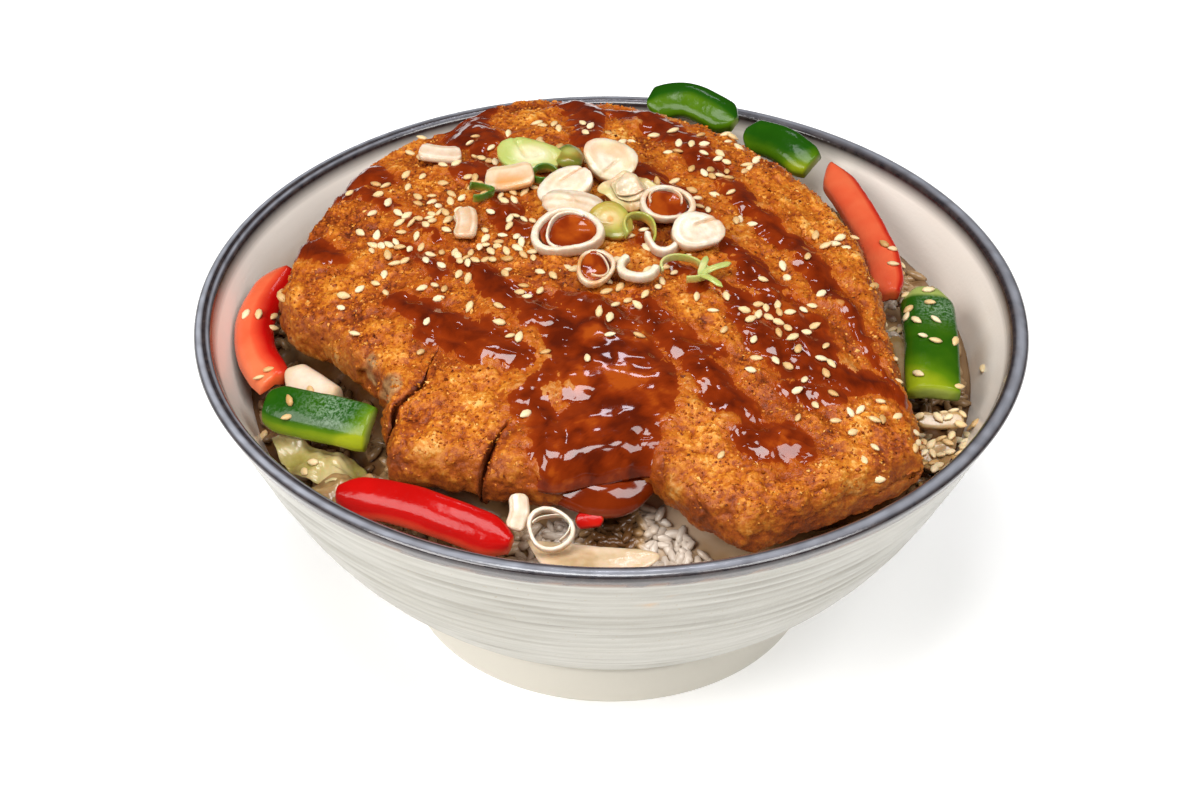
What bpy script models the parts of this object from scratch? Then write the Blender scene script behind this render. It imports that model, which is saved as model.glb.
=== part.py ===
# Rice bowl with a sliced breaded cutlet, peppers, cabbage and spring onion.
# Dimensions are in millimetres and are turned into metres by MM.
# Origin: centre of the underside of the foot. +Z up, the front of the dish is -Y.

import math
import random

import bpy
import numpy as np
from mathutils import Euler, Vector, noise

MM = 0.001

# Bowl
RIM_RADIUS = 100.0
RIM_HEIGHT = 80.5
RIM_WALL = 4.1
FOOT_RADIUS = 50.4
FOOT_HEIGHT = 9.6
FOOT_RECESS = 5.4
FLOOR_HEIGHT = 13.4
OUTER_LOW = ((49.7, 10.5), (80.95, 35.5), (81.0, 41.5), (100.0, 79.3))
INNER_WALL = ((38.0, 14.8), (72.0, 28.0), (76.9, 41.5), (95.9, 79.3))
BOWL_SIDES = 56
OUTER_STEPS = 9
INNER_STEPS = 7
GROOVE_DEPTH = 0.35

# Cutlet: top surface is a low dome, cut into strips by parallel cuts
DOME_TOP = 97.0
DOME_SIDE_FALL = 10.0
DOME_SIDE_REACH = 80.0
DOME_CENTRE_Y = 25.0
DOME_BACK_FALL = 8.0
DOME_BACK_REACH = 60.0
DOME_FRONT_FALL = 17.0
DOME_FRONT_REACH = 105.0
CUT_ANGLE = math.radians(60.0)
CUT_GAP = 0.5
CUTLET_THICKNESS = 13.0
CRUST_EDGE = 6.0
CUT_EDGE = 1.6
CRAG_HEIGHT = 0.9
DRIZZLE_HEIGHT = 0.8

# Edge of the cutlet, as (across the cuts, along the cuts)
FRONT_EDGE = ((-79.5, -1.0), (-74.5, -22.7), (-68.2, -40.7), (-63.7, -46.0), (-46.2, -49.5),
              (-30.9, -55.5), (-21.7, -66.0), (-14.6, -75.0), (2.9, -70.5), (11.4, -69.5),
              (23.0, -63.5), (33.0, -54.0), (39.0, -50.0), (51.2, -53.0), (64.1, -52.5),
              (72.0, -43.0), (80.3, -27.5), (88.4, -11.0))
BACK_EDGE = ((-79.5, 14.0), (-70.3, 34.4), (-65.9, 56.3), (-62.5, 64.0), (-50.7, 67.5),
             (-34.2, 73.0), (-17.7, 70.2), (-4.9, 70.5), (15.2, 62.3), (30.3, 54.5),
             (42.9, 46.0), (55.6, 31.9), (65.7, 17.6), (75.9, 5.3), (88.4, -8.0))
# Slices: name, from and to across the cuts, columns and rows of the mesh
STRIPS = (("katsu_1", -79.3, -20.0, 14, 24),
          ("katsu_2", -20.0, 7.5, 9, 30),
          ("katsu_3", 7.5, 33.0, 9, 27),
          ("katsu_4", 33.0, 88.2, 14, 21))

# Sauce: drizzled lines (x, y) with a half width, and pools (x, y, half length, half width, turn)
DRIZZLE = (((-2.0, 33.0), (10.0, 20.0), (20.0, 4.0), (27.0, -12.0), 3.2),
           ((16.0, 48.0), (29.0, 30.0), (41.0, 10.0), (52.0, -14.0), 3.6),
           ((36.0, 30.0), (46.0, 14.0), (56.0, -8.0), (63.0, -26.0), 3.0),
           ((-34.0, 62.0), (-38.0, 44.0), (-44.0, 24.0), (-40.0, 10.0), 3.4),
           ((-60.0, 34.0), (-54.0, 20.0), (-38.0, 0.0), (-22.0, -16.0), 3.2),
           ((-12.0, 66.0), (-4.0, 54.0), (8.0, 46.0), (18.0, 38.0), 3.4))
POOLS = ((0.0, -22.0, 13.0, 14.0, 0.2),
         (0.0, -50.0, 10.0, 13.0, 0.0),
         (40.0, -44.0, 10.5, 5.0, -0.2),
         (35.0, -22.0, 12.0, 6.0, -0.6))

# Rice core and the grains that show in the front window
RICE_SIDES = 40
RICE_RINGS = (0.16, 0.36, 0.55, 0.72, 0.85, 0.94, 1.0)
RICE_DROP = 14.8
RICE_EDGE_DROP = 6.5
RICE_CLEARANCE = 0.9
RICE_WALL_TOP = 64.0
GRAIN_LENGTH = 6.2
GRAIN_WIDTH = 2.7
GRAIN_COUNT = 28
GRAIN_WINDOW = ((-12.0, 19.0), (-77.0, -60.0))

# Sesame seeds
SEED_LENGTH = 3.1
SEED_WIDTH = 1.9
SEED_HEIGHT = 1.3
SEED_COUNT = 42
SEED_SPACING = 4.2
SEED_MARGIN = 2.6
SEED_EDGE_MARGIN = 7.0
SEED_CLUSTERS = ((-38.0, 18.0, 15.0, 20), (-20.0, 44.0, 12.0, 9), (20.0, 22.0, 12.0, 9),
                 (0.0, 0.0, 14.0, 7), (34.0, -30.0, 12.0, 9), (58.0, -45.0, 9.0, 5),
                 (-58.0, 10.0, 10.0, 5), (20.0, 52.0, 14.0, 7))

CLEARANCE = 0.45

COLOURS = {
    "ceramic": (0.78, 0.76, 0.70),
    "rice_white": (0.86, 0.84, 0.76),
    "crust": (0.62, 0.27, 0.06),
    "green_skin": (0.03, 0.22, 0.02),
    "red_skin": (0.55, 0.02, 0.01),
    "leaf": (0.55, 0.55, 0.22),
    "brown_leaf": (0.42, 0.30, 0.14),
    "onion_white": (0.80, 0.72, 0.55),
    "leek_white": (0.86, 0.86, 0.76),
    "leek_green": (0.30, 0.48, 0.12),
}


def smooth_step(value, low, high):
    share = min(1.0, max(0.0, (value - low) / (high - low)))
    return share * share * (3.0 - 2.0 * share)


def bezier(points, share):
    rest = 1.0 - share
    weights = (rest ** 3, 3 * rest ** 2 * share, 3 * rest * share ** 2, share ** 3)
    return tuple(sum(w * p[i] for w, p in zip(weights, points)) for i in range(len(points[0])))


def inner_radius(height):
    """Inside radius of the bowl at a height."""
    samples = [bezier(INNER_WALL, i / INNER_STEPS) for i in range(INNER_STEPS + 1)]
    return float(np.interp(height, [s[1] for s in samples], [s[0] for s in samples]))


def dome(x, y):
    """Height of the cutlet's smooth top surface."""
    height = DOME_TOP - DOME_SIDE_FALL * (x / DOME_SIDE_REACH) ** 2
    if y > DOME_CENTRE_Y:
        return height - DOME_BACK_FALL * ((y - DOME_CENTRE_Y) / DOME_BACK_REACH) ** 2
    return height - DOME_FRONT_FALL * ((DOME_CENTRE_Y - y) / DOME_FRONT_REACH) ** 2


def rice_top(x, y):
    """Height of the rice core, which carries the cutlet and falls towards the wall."""
    distance = math.hypot(x, y)
    bumps = 0.5 * noise.noise(Vector((x, y, 3.0)) / 7.0)
    return dome(x, y) - RICE_DROP - RICE_EDGE_DROP * smooth_step(distance, 52.0, 70.0) + bumps


def material(name):
    found = bpy.data.materials.get(name)
    if found is None:
        found = bpy.data.materials.new(name)
        found.use_nodes = True
        shader = found.node_tree.nodes["Principled BSDF"]
        shader.inputs["Base Color"].default_value = (*COLOURS[name], 1.0)
        shader.inputs["Roughness"].default_value = 0.5
    return found


def add_object(name, points, faces, slot):
    """Make a named object from points in millimetres."""
    mesh = bpy.data.meshes.new(name)
    mesh.from_pydata([tuple(c * MM for c in point) for point in points], [], faces)
    mesh.validate()
    mesh.update()
    mesh.polygons.foreach_set("use_smooth", [True] * len(mesh.polygons))
    mesh.materials.append(material(slot))
    made = bpy.data.objects.new(name, mesh)
    bpy.context.scene.collection.objects.link(made)
    return made


def unit(vector):
    return vector / np.linalg.norm(vector)


def make_bowl():
    """Turn the bowl's closed profile round the vertical axis."""
    outer = [bezier(OUTER_LOW, i / OUTER_STEPS) for i in range(OUTER_STEPS + 1)]
    inner = [bezier(INNER_WALL, i / INNER_STEPS) for i in range(INNER_STEPS, -1, -1)]
    grooved = []
    for index, (radius, height) in enumerate(outer):
        dent = GROOVE_DEPTH if index % 2 == 1 and index < OUTER_STEPS else 0.0
        grooved.append((radius - dent, height))
    foot = [(43.0, FOOT_RECESS), (44.6, 0.0), (FOOT_RADIUS - 0.7, 0.0), (FOOT_RADIUS, 0.8),
            (FOOT_RADIUS - 0.4, FOOT_HEIGHT)]
    lip = [(RIM_RADIUS - 0.3, RIM_HEIGHT - 0.4), (RIM_RADIUS - RIM_WALL / 2, RIM_HEIGHT),
           (RIM_RADIUS - RIM_WALL + 0.3, RIM_HEIGHT - 0.3)]
    floor = [(20.0, FLOOR_HEIGHT)]
    rings = foot + grooved + lip + inner + floor
    points = [(0.0, 0.0, FOOT_RECESS)]
    for radius, height in rings:
        for side in range(BOWL_SIDES):
            turn = 2 * math.pi * side / BOWL_SIDES
            points.append((radius * math.cos(turn), radius * math.sin(turn), height))
    points.append((0.0, 0.0, FLOOR_HEIGHT))
    faces = []
    last = len(points) - 1
    for side in range(BOWL_SIDES):
        after = (side + 1) % BOWL_SIDES
        faces.append((0, 1 + after, 1 + side))
        for ring in range(len(rings) - 1):
            here = 1 + ring * BOWL_SIDES
            above = here + BOWL_SIDES
            faces.append((here + side, here + after, above + after, above + side))
        top = 1 + (len(rings) - 1) * BOWL_SIDES
        faces.append((last, top + side, top + after))
    return add_object("bowl", points, faces, "ceramic")


def plan(across, along):
    """Plan position of a point given across and along the cuts."""
    x = across * math.sin(CUT_ANGLE) + along * math.cos(CUT_ANGLE)
    y = -across * math.cos(CUT_ANGLE) + along * math.sin(CUT_ANGLE)
    return x, y


def edge_at(edge, across):
    return float(np.interp(across, [p[0] for p in edge], [p[1] for p in edge]))


def sauce_at(x, y):
    """Share of full sauce thickness at a plan position, from 0 to 1."""
    best = 0.0
    for *line, half_width in DRIZZLE:
        for step in range(13):
            near_x, near_y = bezier(line, step / 12.0)
            reach = math.hypot(x - near_x, y - near_y) / half_width
            best = max(best, 1.0 - smooth_step(reach, 0.6, 1.5))
    for pool_x, pool_y, half_x, half_y, turn in POOLS:
        dx, dy = x - pool_x, y - pool_y
        along = (dx * math.cos(turn) + dy * math.sin(turn)) / half_x
        aside = (dy * math.cos(turn) - dx * math.sin(turn)) / half_y
        best = max(best, 1.0 - smooth_step(math.hypot(along, aside), 0.75, 1.15))
    return best


def crust_height(x, y):
    """Cutlet surface with crags and thick sauce, without its rounded edge."""
    place = Vector((x, y, 0.0))
    crags = 0.65 * noise.noise(place / 9.0) + 0.35 * noise.noise(place / 4.2 + Vector((7, 3, 1)))
    return dome(x, y) + CRAG_HEIGHT * 2.0 * crags + DRIZZLE_HEIGHT * sauce_at(x, y)


def edge_drop(near_cut, cut_size, near_crust):
    """How far the rounded edge lies under the smooth surface."""
    cut_share = max(0.0, 1.0 - near_cut / cut_size)
    crust_share = max(0.0, 1.0 - near_crust / CRUST_EDGE)
    drop_cut = cut_size * (1.0 - math.sqrt(max(0.0, 1.0 - cut_share ** 2)))
    reach = min(1.0, math.hypot(cut_share if cut_size > 3 else 0.0, crust_share))
    drop_crust = CRUST_EDGE * (1.0 - math.sqrt(max(0.0, 1.0 - reach ** 2)))
    return max(drop_cut, drop_crust)


def eased_steps(count, length, fine):
    """Stations from 0 to 1 that are closer together at both ends."""
    ends = [0.0, 0.10 * fine / length, 0.42 * fine / length, fine / length]
    inner_count = count - 6
    middle = np.linspace(ends[-1], 1.0 - ends[-1], inner_count + 1)[1:-1]
    return ends + list(middle) + [1.0 - e for e in reversed(ends)]


def make_strip(name, low, high, columns, rows):
    """One slice of the cutlet, between two cuts."""
    first = low < FRONT_EDGE[0][0] + 1.0
    final = high > FRONT_EDGE[-1][0] - 1.0
    left = low + (0.0 if first else CUT_GAP / 2)
    right = high - (0.0 if final else CUT_GAP / 2)
    left_size = CRUST_EDGE if first else CUT_EDGE
    right_size = CRUST_EDGE if final else CUT_EDGE
    width = right - left
    across_steps = eased_steps(columns, width, max(left_size, right_size))
    along_steps = eased_steps(rows, 110.0, CRUST_EDGE)
    top, under = [], []
    for u in across_steps:
        across = left + u * width
        start, end = edge_at(FRONT_EDGE, across), edge_at(BACK_EDGE, across)
        for v in along_steps:
            along = start + v * (end - start)
            x, y = plan(across, along)
            near_crust = min(v, 1.0 - v) * (end - start)
            if u < 0.5:
                drop = edge_drop(u * width, left_size, near_crust)
            else:
                drop = edge_drop((1.0 - u) * width, right_size, near_crust)
            height = crust_height(x, y)
            side_crags = 0.5 * noise.noise(Vector((x, y, 20.0)) / 5.0)
            top.append((x, y, height - min(drop, CRUST_EDGE - 0.8)))
            under.append((x, y, dome(x, y) - CUTLET_THICKNESS + min(drop, CRUST_EDGE) + side_crags))
    across_count, along_count = len(across_steps), len(along_steps)
    size = across_count * along_count
    faces = []
    for i in range(across_count - 1):
        for j in range(along_count - 1):
            a, b = i * along_count + j, (i + 1) * along_count + j
            faces.append((a, b, b + 1, a + 1))
    rim = [i * along_count for i in range(across_count)]
    rim += [(across_count - 1) * along_count + j for j in range(1, along_count)]
    rim += [i * along_count + along_count - 1 for i in range(across_count - 2, -1, -1)]
    rim += [j for j in range(along_count - 2, 0, -1)]
    points = top + [under[k] for k in rim]
    lower = {k: size + n for n, k in enumerate(rim)}
    for n, k in enumerate(rim):
        after = rim[(n + 1) % len(rim)]
        faces.append((after, k, lower[k], lower[after]))
    add_underside(faces, points, lower, under, across_count, along_count)
    return add_object(name, points, faces, "crust")


def add_underside(faces, points, lower, under, across_count, along_count):
    """Close the slice underneath with a coarser grid joined to its rim."""
    columns = [0, 3, *range(5, across_count - 5, 3), across_count - 4, across_count - 1]
    columns = sorted(set(columns))
    rows = [0, 3, *range(6, along_count - 5, 3), along_count - 4, along_count - 1]
    rows = sorted(set(rows))
    index = {}

    def point_at(i, j):
        key = i * along_count + j
        if key in lower:
            return lower[key]
        if key not in index:
            index[key] = len(points)
            points.append(under[key])
        return index[key]

    for i, i_next in zip(columns, columns[1:]):
        for j, j_next in zip(rows, rows[1:]):
            left_steps = range(j, j_next) if i == 0 else (j,)
            end_steps = range(i, i_next) if j_next == along_count - 1 else (i,)
            right_steps = range(j_next, j, -1) if i_next == across_count - 1 else (j_next,)
            start_steps = range(i_next, i, -1) if j == 0 else (i_next,)
            loop = [point_at(i, k) for k in left_steps]
            loop += [point_at(k, j_next) for k in end_steps]
            loop += [point_at(i_next, k) for k in right_steps]
            loop += [point_at(k, j) for k in start_steps]
            # Triangles fan out from the corner whose two sides carry no extra points
            hub = loop.index(point_at(i_next if i == 0 else i, j_next if j == 0 else j))
            loop = loop[hub:] + loop[:hub]
            for k in range(1, len(loop) - 1):
                faces.append((loop[0], loop[k], loop[k + 1]))


def make_pebble(name, centre, size, direction, slot, tilt=0.0):
    """A 20-sided seed or grain, long along its direction."""
    golden = (1 + math.sqrt(5)) / 2
    corners = [(s * a, t * b, 0.0) for a, b in ((1, golden),) for s in (-1, 1) for t in (-1, 1)]
    corners += [(0.0, s, t * golden) for s in (-1, 1) for t in (-1, 1)]
    corners += [(s * golden, 0.0, t) for s in (-1, 1) for t in (-1, 1)]
    scale = 1.0 / math.sqrt(1 + golden ** 2)
    cos_d, sin_d = math.cos(direction), math.sin(direction)
    points = []
    for x, y, z in corners:
        x, y, z = x * scale * size[0] / 2, y * scale * size[1] / 2, z * scale * size[2] / 2
        z += x * math.tan(tilt)
        points.append((centre[0] + x * cos_d - y * sin_d, centre[1] + x * sin_d + y * cos_d,
                       centre[2] + z))
    faces = []
    edge = 2.0 * scale
    scaled = [Vector(c) * scale for c in corners]
    for a in range(12):
        for b in range(a + 1, 12):
            for c in range(b + 1, 12):
                sides = ((scaled[a] - scaled[b]).length, (scaled[b] - scaled[c]).length,
                         (scaled[a] - scaled[c]).length)
                if max(sides) < edge * 1.05:
                    normal = (scaled[b] - scaled[a]).cross(scaled[c] - scaled[a])
                    outward = normal.dot(scaled[a] + scaled[b] + scaled[c]) > 0
                    faces.append((a, b, c) if outward else (a, c, b))
    return add_object(name, points, faces, slot)


def fuse(base, pieces):
    """Join loose pieces onto a solid with one union."""
    group = bpy.data.collections.new(base.name + "_pieces")
    bpy.context.scene.collection.children.link(group)
    for piece in pieces:
        bpy.context.scene.collection.objects.unlink(piece)
        group.objects.link(piece)
    union = base.modifiers.new("union", "BOOLEAN")
    union.operation = "UNION"
    union.operand_type = "COLLECTION"
    union.collection = group
    union.solver = "EXACT"
    bpy.context.view_layer.update()
    evaluated = base.evaluated_get(bpy.context.evaluated_depsgraph_get())
    joined = bpy.data.meshes.new_from_object(evaluated)
    base.modifiers.clear()
    old = base.data
    base.data = joined
    bpy.data.meshes.remove(old)
    for piece in pieces:
        bpy.data.objects.remove(piece)
    bpy.data.collections.remove(group)
    base.data.polygons.foreach_set("use_smooth", [True] * len(base.data.polygons))


def surface_height(base, x, y):
    """Height of a solid's top under a plan position, read off its own faces."""
    hit, place, _, _ = base.ray_cast(Vector((x * MM, y * MM, 0.2)), Vector((0, 0, -1)))
    return place.z / MM if hit else None


def strip_name_at(x, y):
    """Which slice lies under a plan position, if it is clear of cuts and edges."""
    across = x * math.sin(CUT_ANGLE) - y * math.cos(CUT_ANGLE)
    along = x * math.cos(CUT_ANGLE) + y * math.sin(CUT_ANGLE)
    nearest_end = min(along - edge_at(FRONT_EDGE, across), edge_at(BACK_EDGE, across) - along)
    if nearest_end < SEED_EDGE_MARGIN:
        return None
    if not STRIPS[0][1] + SEED_EDGE_MARGIN < across < STRIPS[-1][2] - SEED_EDGE_MARGIN:
        return None
    for name, low, high, *_ in STRIPS:
        if low + SEED_MARGIN < across < high - SEED_MARGIN:
            return name
    return None


def make_katsu():
    """All slices of the cutlet, with sesame seeds fused on."""
    slices = {name: make_strip(name, low, high, columns, rows)
              for name, low, high, columns, rows in STRIPS}
    rng = random.Random(11)
    seeds = {name: [] for name in slices}
    placed = []
    weights = [cluster[3] for cluster in SEED_CLUSTERS]
    tries = 0
    while len(placed) < SEED_COUNT and tries < 4000:
        tries += 1
        cx, cy, spread, _ = rng.choices(SEED_CLUSTERS, weights)[0]
        x, y = rng.gauss(cx, spread), rng.gauss(cy, spread)
        name = strip_name_at(x, y)
        if name is None or sauce_at(x, y) > 0.9:
            continue
        if any(math.hypot(x - px, y - py) < SEED_SPACING for px, py in placed):
            continue
        if any(math.hypot(x - rx, y - ry) < reach + 3.2 for rx, ry, reach in onion_places()):
            continue
        placed.append((x, y))
        size = (SEED_LENGTH, SEED_WIDTH, SEED_HEIGHT)
        centre = (x, y, surface_height(slices[name], x, y) + 0.2)
        seeds[name].append(make_pebble("seed", centre, size, rng.uniform(0, math.pi), "crust"))
    for name, pieces in seeds.items():
        if pieces:
            fuse(slices[name], pieces)


def make_rice():
    """The rice core with the grains that show in front."""
    points = [(0.0, 0.0, rice_top(0, 0))]
    turns = [2 * math.pi * side / RICE_SIDES for side in range(RICE_SIDES)]
    reaches = []
    for turn in turns:
        reach = inner_radius(RICE_WALL_TOP) - RICE_CLEARANCE
        height = min(rice_top(reach * math.cos(turn), reach * math.sin(turn)), RICE_WALL_TOP)
        reaches.append((inner_radius(height) - RICE_CLEARANCE, height))
    rings = []
    for share in RICE_RINGS:
        ring = []
        for turn, (reach, edge_height) in zip(turns, reaches):
            x, y = share * reach * math.cos(turn), share * reach * math.sin(turn)
            ring.append((x, y, edge_height if share == 1.0 else rice_top(x, y)))
        rings.append(ring)
    for height in (56.0, 44.0, 32.0, 20.0):
        reach = inner_radius(height) - RICE_CLEARANCE
        rings.append([(reach * math.cos(turn), reach * math.sin(turn), height) for turn in turns])
    for ring in rings:
        points += ring
    points.append((0.0, 0.0, FLOOR_HEIGHT + 4.0))
    faces = []
    last = len(points) - 1
    for side in range(RICE_SIDES):
        after = (side + 1) % RICE_SIDES
        faces.append((0, 1 + side, 1 + after))
        for ring in range(len(rings) - 1):
            here, below = 1 + ring * RICE_SIDES, 1 + (ring + 1) * RICE_SIDES
            faces.append((here + side, below + side, below + after, here + after))
        bottom = 1 + (len(rings) - 1) * RICE_SIDES
        faces.append((last, bottom + after, bottom + side))
    core = add_object("rice", points, faces, "rice_white")
    rng = random.Random(5)
    grains = []
    placed = []
    (x_low, x_high), (y_low, y_high) = GRAIN_WINDOW
    tries = 0
    while len(grains) < GRAIN_COUNT and tries < 3000:
        tries += 1
        x, y = rng.uniform(x_low, x_high), rng.uniform(y_low, y_high)
        if any(math.hypot(x - px, y - py) < 3.0 for px, py in placed):
            continue
        placed.append((x, y))
        size = (GRAIN_LENGTH, GRAIN_WIDTH, GRAIN_WIDTH * 0.85)
        centre = (x, y, surface_height(core, x, y) + 0.4)
        grains.append(make_pebble("grain", centre, size, rng.uniform(0, math.pi), "rice_white",
                                  rng.uniform(-0.15, 0.15)))
    fuse(core, grains)


def smooth_path(path, count):
    """Points along a rounded curve through the path's points."""
    path = [np.array(p, dtype=float) for p in path]
    padded = [2 * path[0] - path[1]] + path + [2 * path[-1] - path[-2]]
    spots = []
    for step in range(count):
        place = step / (count - 1) * (len(path) - 1)
        index = min(int(place), len(path) - 2)
        t = place - index
        p0, p1, p2, p3 = padded[index:index + 4]
        spots.append(0.5 * ((2 * p1) + (p2 - p0) * t + (2 * p0 - 5 * p1 + 4 * p2 - p3) * t ** 2
                            + (3 * p1 - p0 - 3 * p2 + p3) * t ** 3))
    return spots


# Cross-section of a pepper strip: bulging skin above, thinner flesh edge below,
# as shares of the width and thickness
PEPPER_SECTION = ((-0.5, -0.30), (-0.46, 0.10), (-0.25, 0.40), (0.0, 0.5), (0.25, 0.40),
                  (0.46, 0.10), (0.5, -0.30), (0.25, -0.5), (-0.25, -0.5))
ROUND_SECTION = tuple((0.5 * math.cos(2 * math.pi * k / 8), -0.5 * math.sin(2 * math.pi * k / 8))
                      for k in range(8))


def make_sweep(name, path, width, thickness, facing, slot, section=PEPPER_SECTION, stations=9,
               ends=(0.75, 0.75), facing_end=None):
    """Sweep a section along a path. The section's upper side looks towards facing."""
    spots = smooth_path(path, stations)
    facing_end = facing_end or facing
    points, faces = [], []
    count = len(section)
    for step, spot in enumerate(spots):
        share = step / (stations - 1)
        ahead = spots[min(step + 1, stations - 1)] - spots[max(step - 1, 0)]
        tangent = unit(ahead)
        wanted = (1 - share) * np.array(facing) + share * np.array(facing_end)
        side = unit(np.cross(tangent, wanted))
        normal = np.cross(side, tangent)
        taper = 1.0
        if step == 0:
            taper = ends[0]
        elif step == stations - 1:
            taper = ends[1]
        for across, up in section:
            points.append(tuple(spot + side * across * width * taper
                                + normal * up * thickness * (0.5 + 0.5 * taper)))
    for step in range(stations - 1):
        for k in range(count):
            after = (k + 1) % count
            here, there = step * count, (step + 1) * count
            faces.append((here + k, here + after, there + after, there + k))
    faces.append(tuple(range(count - 1, -1, -1)))
    faces.append(tuple(range((stations - 1) * count, stations * count)))
    return add_object(name, points, faces, slot)


def make_slab(name, outline, level, slope, thickness, waves, slot):
    """A thin wavy leaf or slice: an outline filled with rings that shrink to its middle."""
    count = len(outline)
    mid_x = sum(p[0] for p in outline) / count
    mid_y = sum(p[1] for p in outline) / count

    def height(x, y):
        wave = math.sin((x + 0.6 * y) / waves[1]) + 0.6 * math.sin((y - 0.5 * x) / waves[1] * 1.3)
        return level + slope[0] * (x - mid_x) + slope[1] * (y - mid_y) + waves[0] * wave

    shares = (1.0, 0.72, 0.36)
    upper, lower = [], []
    for share in shares:
        for x, y in outline:
            px, py = mid_x + (x - mid_x) * share, mid_y + (y - mid_y) * share
            upper.append((px, py, height(px, py)))
            lower.append((px, py, height(px, py) - thickness))
    upper.append((mid_x, mid_y, height(mid_x, mid_y)))
    lower.append((mid_x, mid_y, height(mid_x, mid_y) - thickness))
    points = upper + lower
    half = len(upper)
    faces = []
    for ring in range(len(shares) - 1):
        for k in range(count):
            after = (k + 1) % count
            a, b = ring * count + k, ring * count + after
            c, d = (ring + 1) * count + after, (ring + 1) * count + k
            faces += [(c, b, a), (d, c, a)]
            faces += [(half + a, half + b, half + c), (half + a, half + c, half + d)]
    centre = half - 1
    inner = (len(shares) - 1) * count
    for k in range(count):
        after = (k + 1) % count
        faces.append((inner + after, inner + k, centre))
        faces.append((half + inner + k, half + inner + after, half + centre))
        faces += [(k, after, half + k), (half + k, after, half + after)]
    return add_object(name, points, faces, slot)


def make_peppers():
    up_front = (0.0, -0.60, 0.80)
    make_sweep("green_pepper_1", [(-80.5, -32.0, 75.5), (-67.0, -38.0, 76.8), (-56.0, -43.0, 77.5)],
               11.5, 4.4, (-0.10, -0.62, 0.78), "green_skin")
    make_sweep("green_pepper_2", [(76.8, 14.5, 76.5), (76.6, -6.0, 77.0), (76.0, -24.5, 75.2)],
               13.0, 5.0, (0.05, -0.15, 0.98), "green_skin", ends=(0.70, 0.95))
    make_sweep("green_pepper_3", [(9.5, 88.0, 84.5), (20.0, 87.2, 86.8), (31.5, 79.5, 84.5)],
               9.5, 4.2, (0.05, -0.55, 0.83), "green_skin", ends=(0.45, 0.55))
    make_sweep("green_pepper_4", [(35.0, 79.5, 81.0), (43.0, 73.5, 82.3), (51.0, 66.5, 80.2)],
               9.5, 4.2, (-0.10, -0.60, 0.79), "green_skin", ends=(0.55, 0.60))
    make_sweep("red_pepper_1", [(-80.5, 22.0, 77.0), (-85.3, 8.0, 75.0), (-84.8, -6.0, 74.0),
                                (-79.5, -19.0, 74.0)],
               8.4, 4.6, (0.35, -0.30, 0.88), "red_skin", ends=(0.6, 0.7))
    make_sweep("red_pepper_2", [(-62.0, -61.0, 72.0), (-49.0, -65.5, 73.8), (-36.0, -71.5, 73.5),
                                (-22.5, -77.0, 71.0)],
               9.0, 4.4, up_front, "red_skin", ends=(0.45, 0.5), stations=10)
    make_sweep("red_pepper_3", [(55.8, 67.0, 79.0), (61.5, 47.5, 80.0), (66.5, 28.0, 79.5),
                                (68.0, 12.0, 78.0)],
               8.0, 4.4, (0.15, -0.35, 0.92), "red_skin", ends=(0.55, 0.45), stations=10)
    make_sweep("red_pepper_4", [(-7.6, -70.2, 72.0), (-2.0, -69.6, 72.2)],
               3.2, 1.8, up_front, "red_skin", stations=3)


def make_greens():
    make_sweep("onion_stem", [(-75.5, -17.5, 73.5), (-70.0, -23.0, 73.8), (-65.0, -28.0, 73.0)],
               8.0, 7.0, (-0.3, -0.5, 0.8), "onion_white", ROUND_SECTION, 6, (0.55, 0.6))
    make_slab("cabbage_1", [(-80.0, -33.0), (-70.0, -37.5), (-60.0, -41.5), (-56.0, -46.5),
                            (-60.5, -52.0), (-68.0, -50.0), (-76.0, -42.5)],
              67.8, (0.02, 0.08), 1.3, (0.7, 4.0), "leaf")
    make_slab("cabbage_2", [(-69.5, -53.0), (-64.0, -54.5), (-57.0, -54.5), (-55.5, -59.5),
                            (-62.0, -60.0), (-67.5, -56.5)],
              67.2, (0.02, 0.06), 1.3, (0.45, 2.6), "brown_leaf")
    make_slab("cabbage_3", [(70.5, -34.0), (76.0, -34.0), (81.0, -33.0), (79.5, -39.5),
                            (76.0, -44.5), (71.5, -40.0)],
              67.6, (0.05, 0.05), 1.3, (0.5, 3.0), "leaf")
    make_slab("onion_1", [(-19.0, -72.5), (-10.0, -73.0), (0.0, -74.5), (11.0, -77.0),
                          (6.0, -82.0), (-5.0, -83.5), (-14.0, -82.5)],
              68.6, (0.0, 0.05), 1.6, (0.35, 6.0), "onion_white")
    make_slab("onion_2", [(16.0, -77.5), (22.0, -80.0), (29.0, -80.5), (25.0, -83.5), (17.0, -83.5)],
              64.8, (0.0, 0.05), 1.5, (0.3, 6.0), "onion_white")
    make_sweep("onion_3", [(69.0, 4.0, 70.3), (71.0, -6.0, 70.3), (71.5, -17.0, 70.0)],
               5.0, 2.0, (0.2, -0.3, 0.9), "onion_white", ROUND_SECTION, 6, (0.5, 0.5))
    make_sweep("onion_4", [(72.5, -29.5, 70.8), (77.0, -30.5, 71.0), (82.5, -30.0, 71.4)],
               4.2, 2.0, (0.0, -0.5, 0.85), "onion_white", ROUND_SECTION, 5, (0.6, 0.6))


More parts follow.
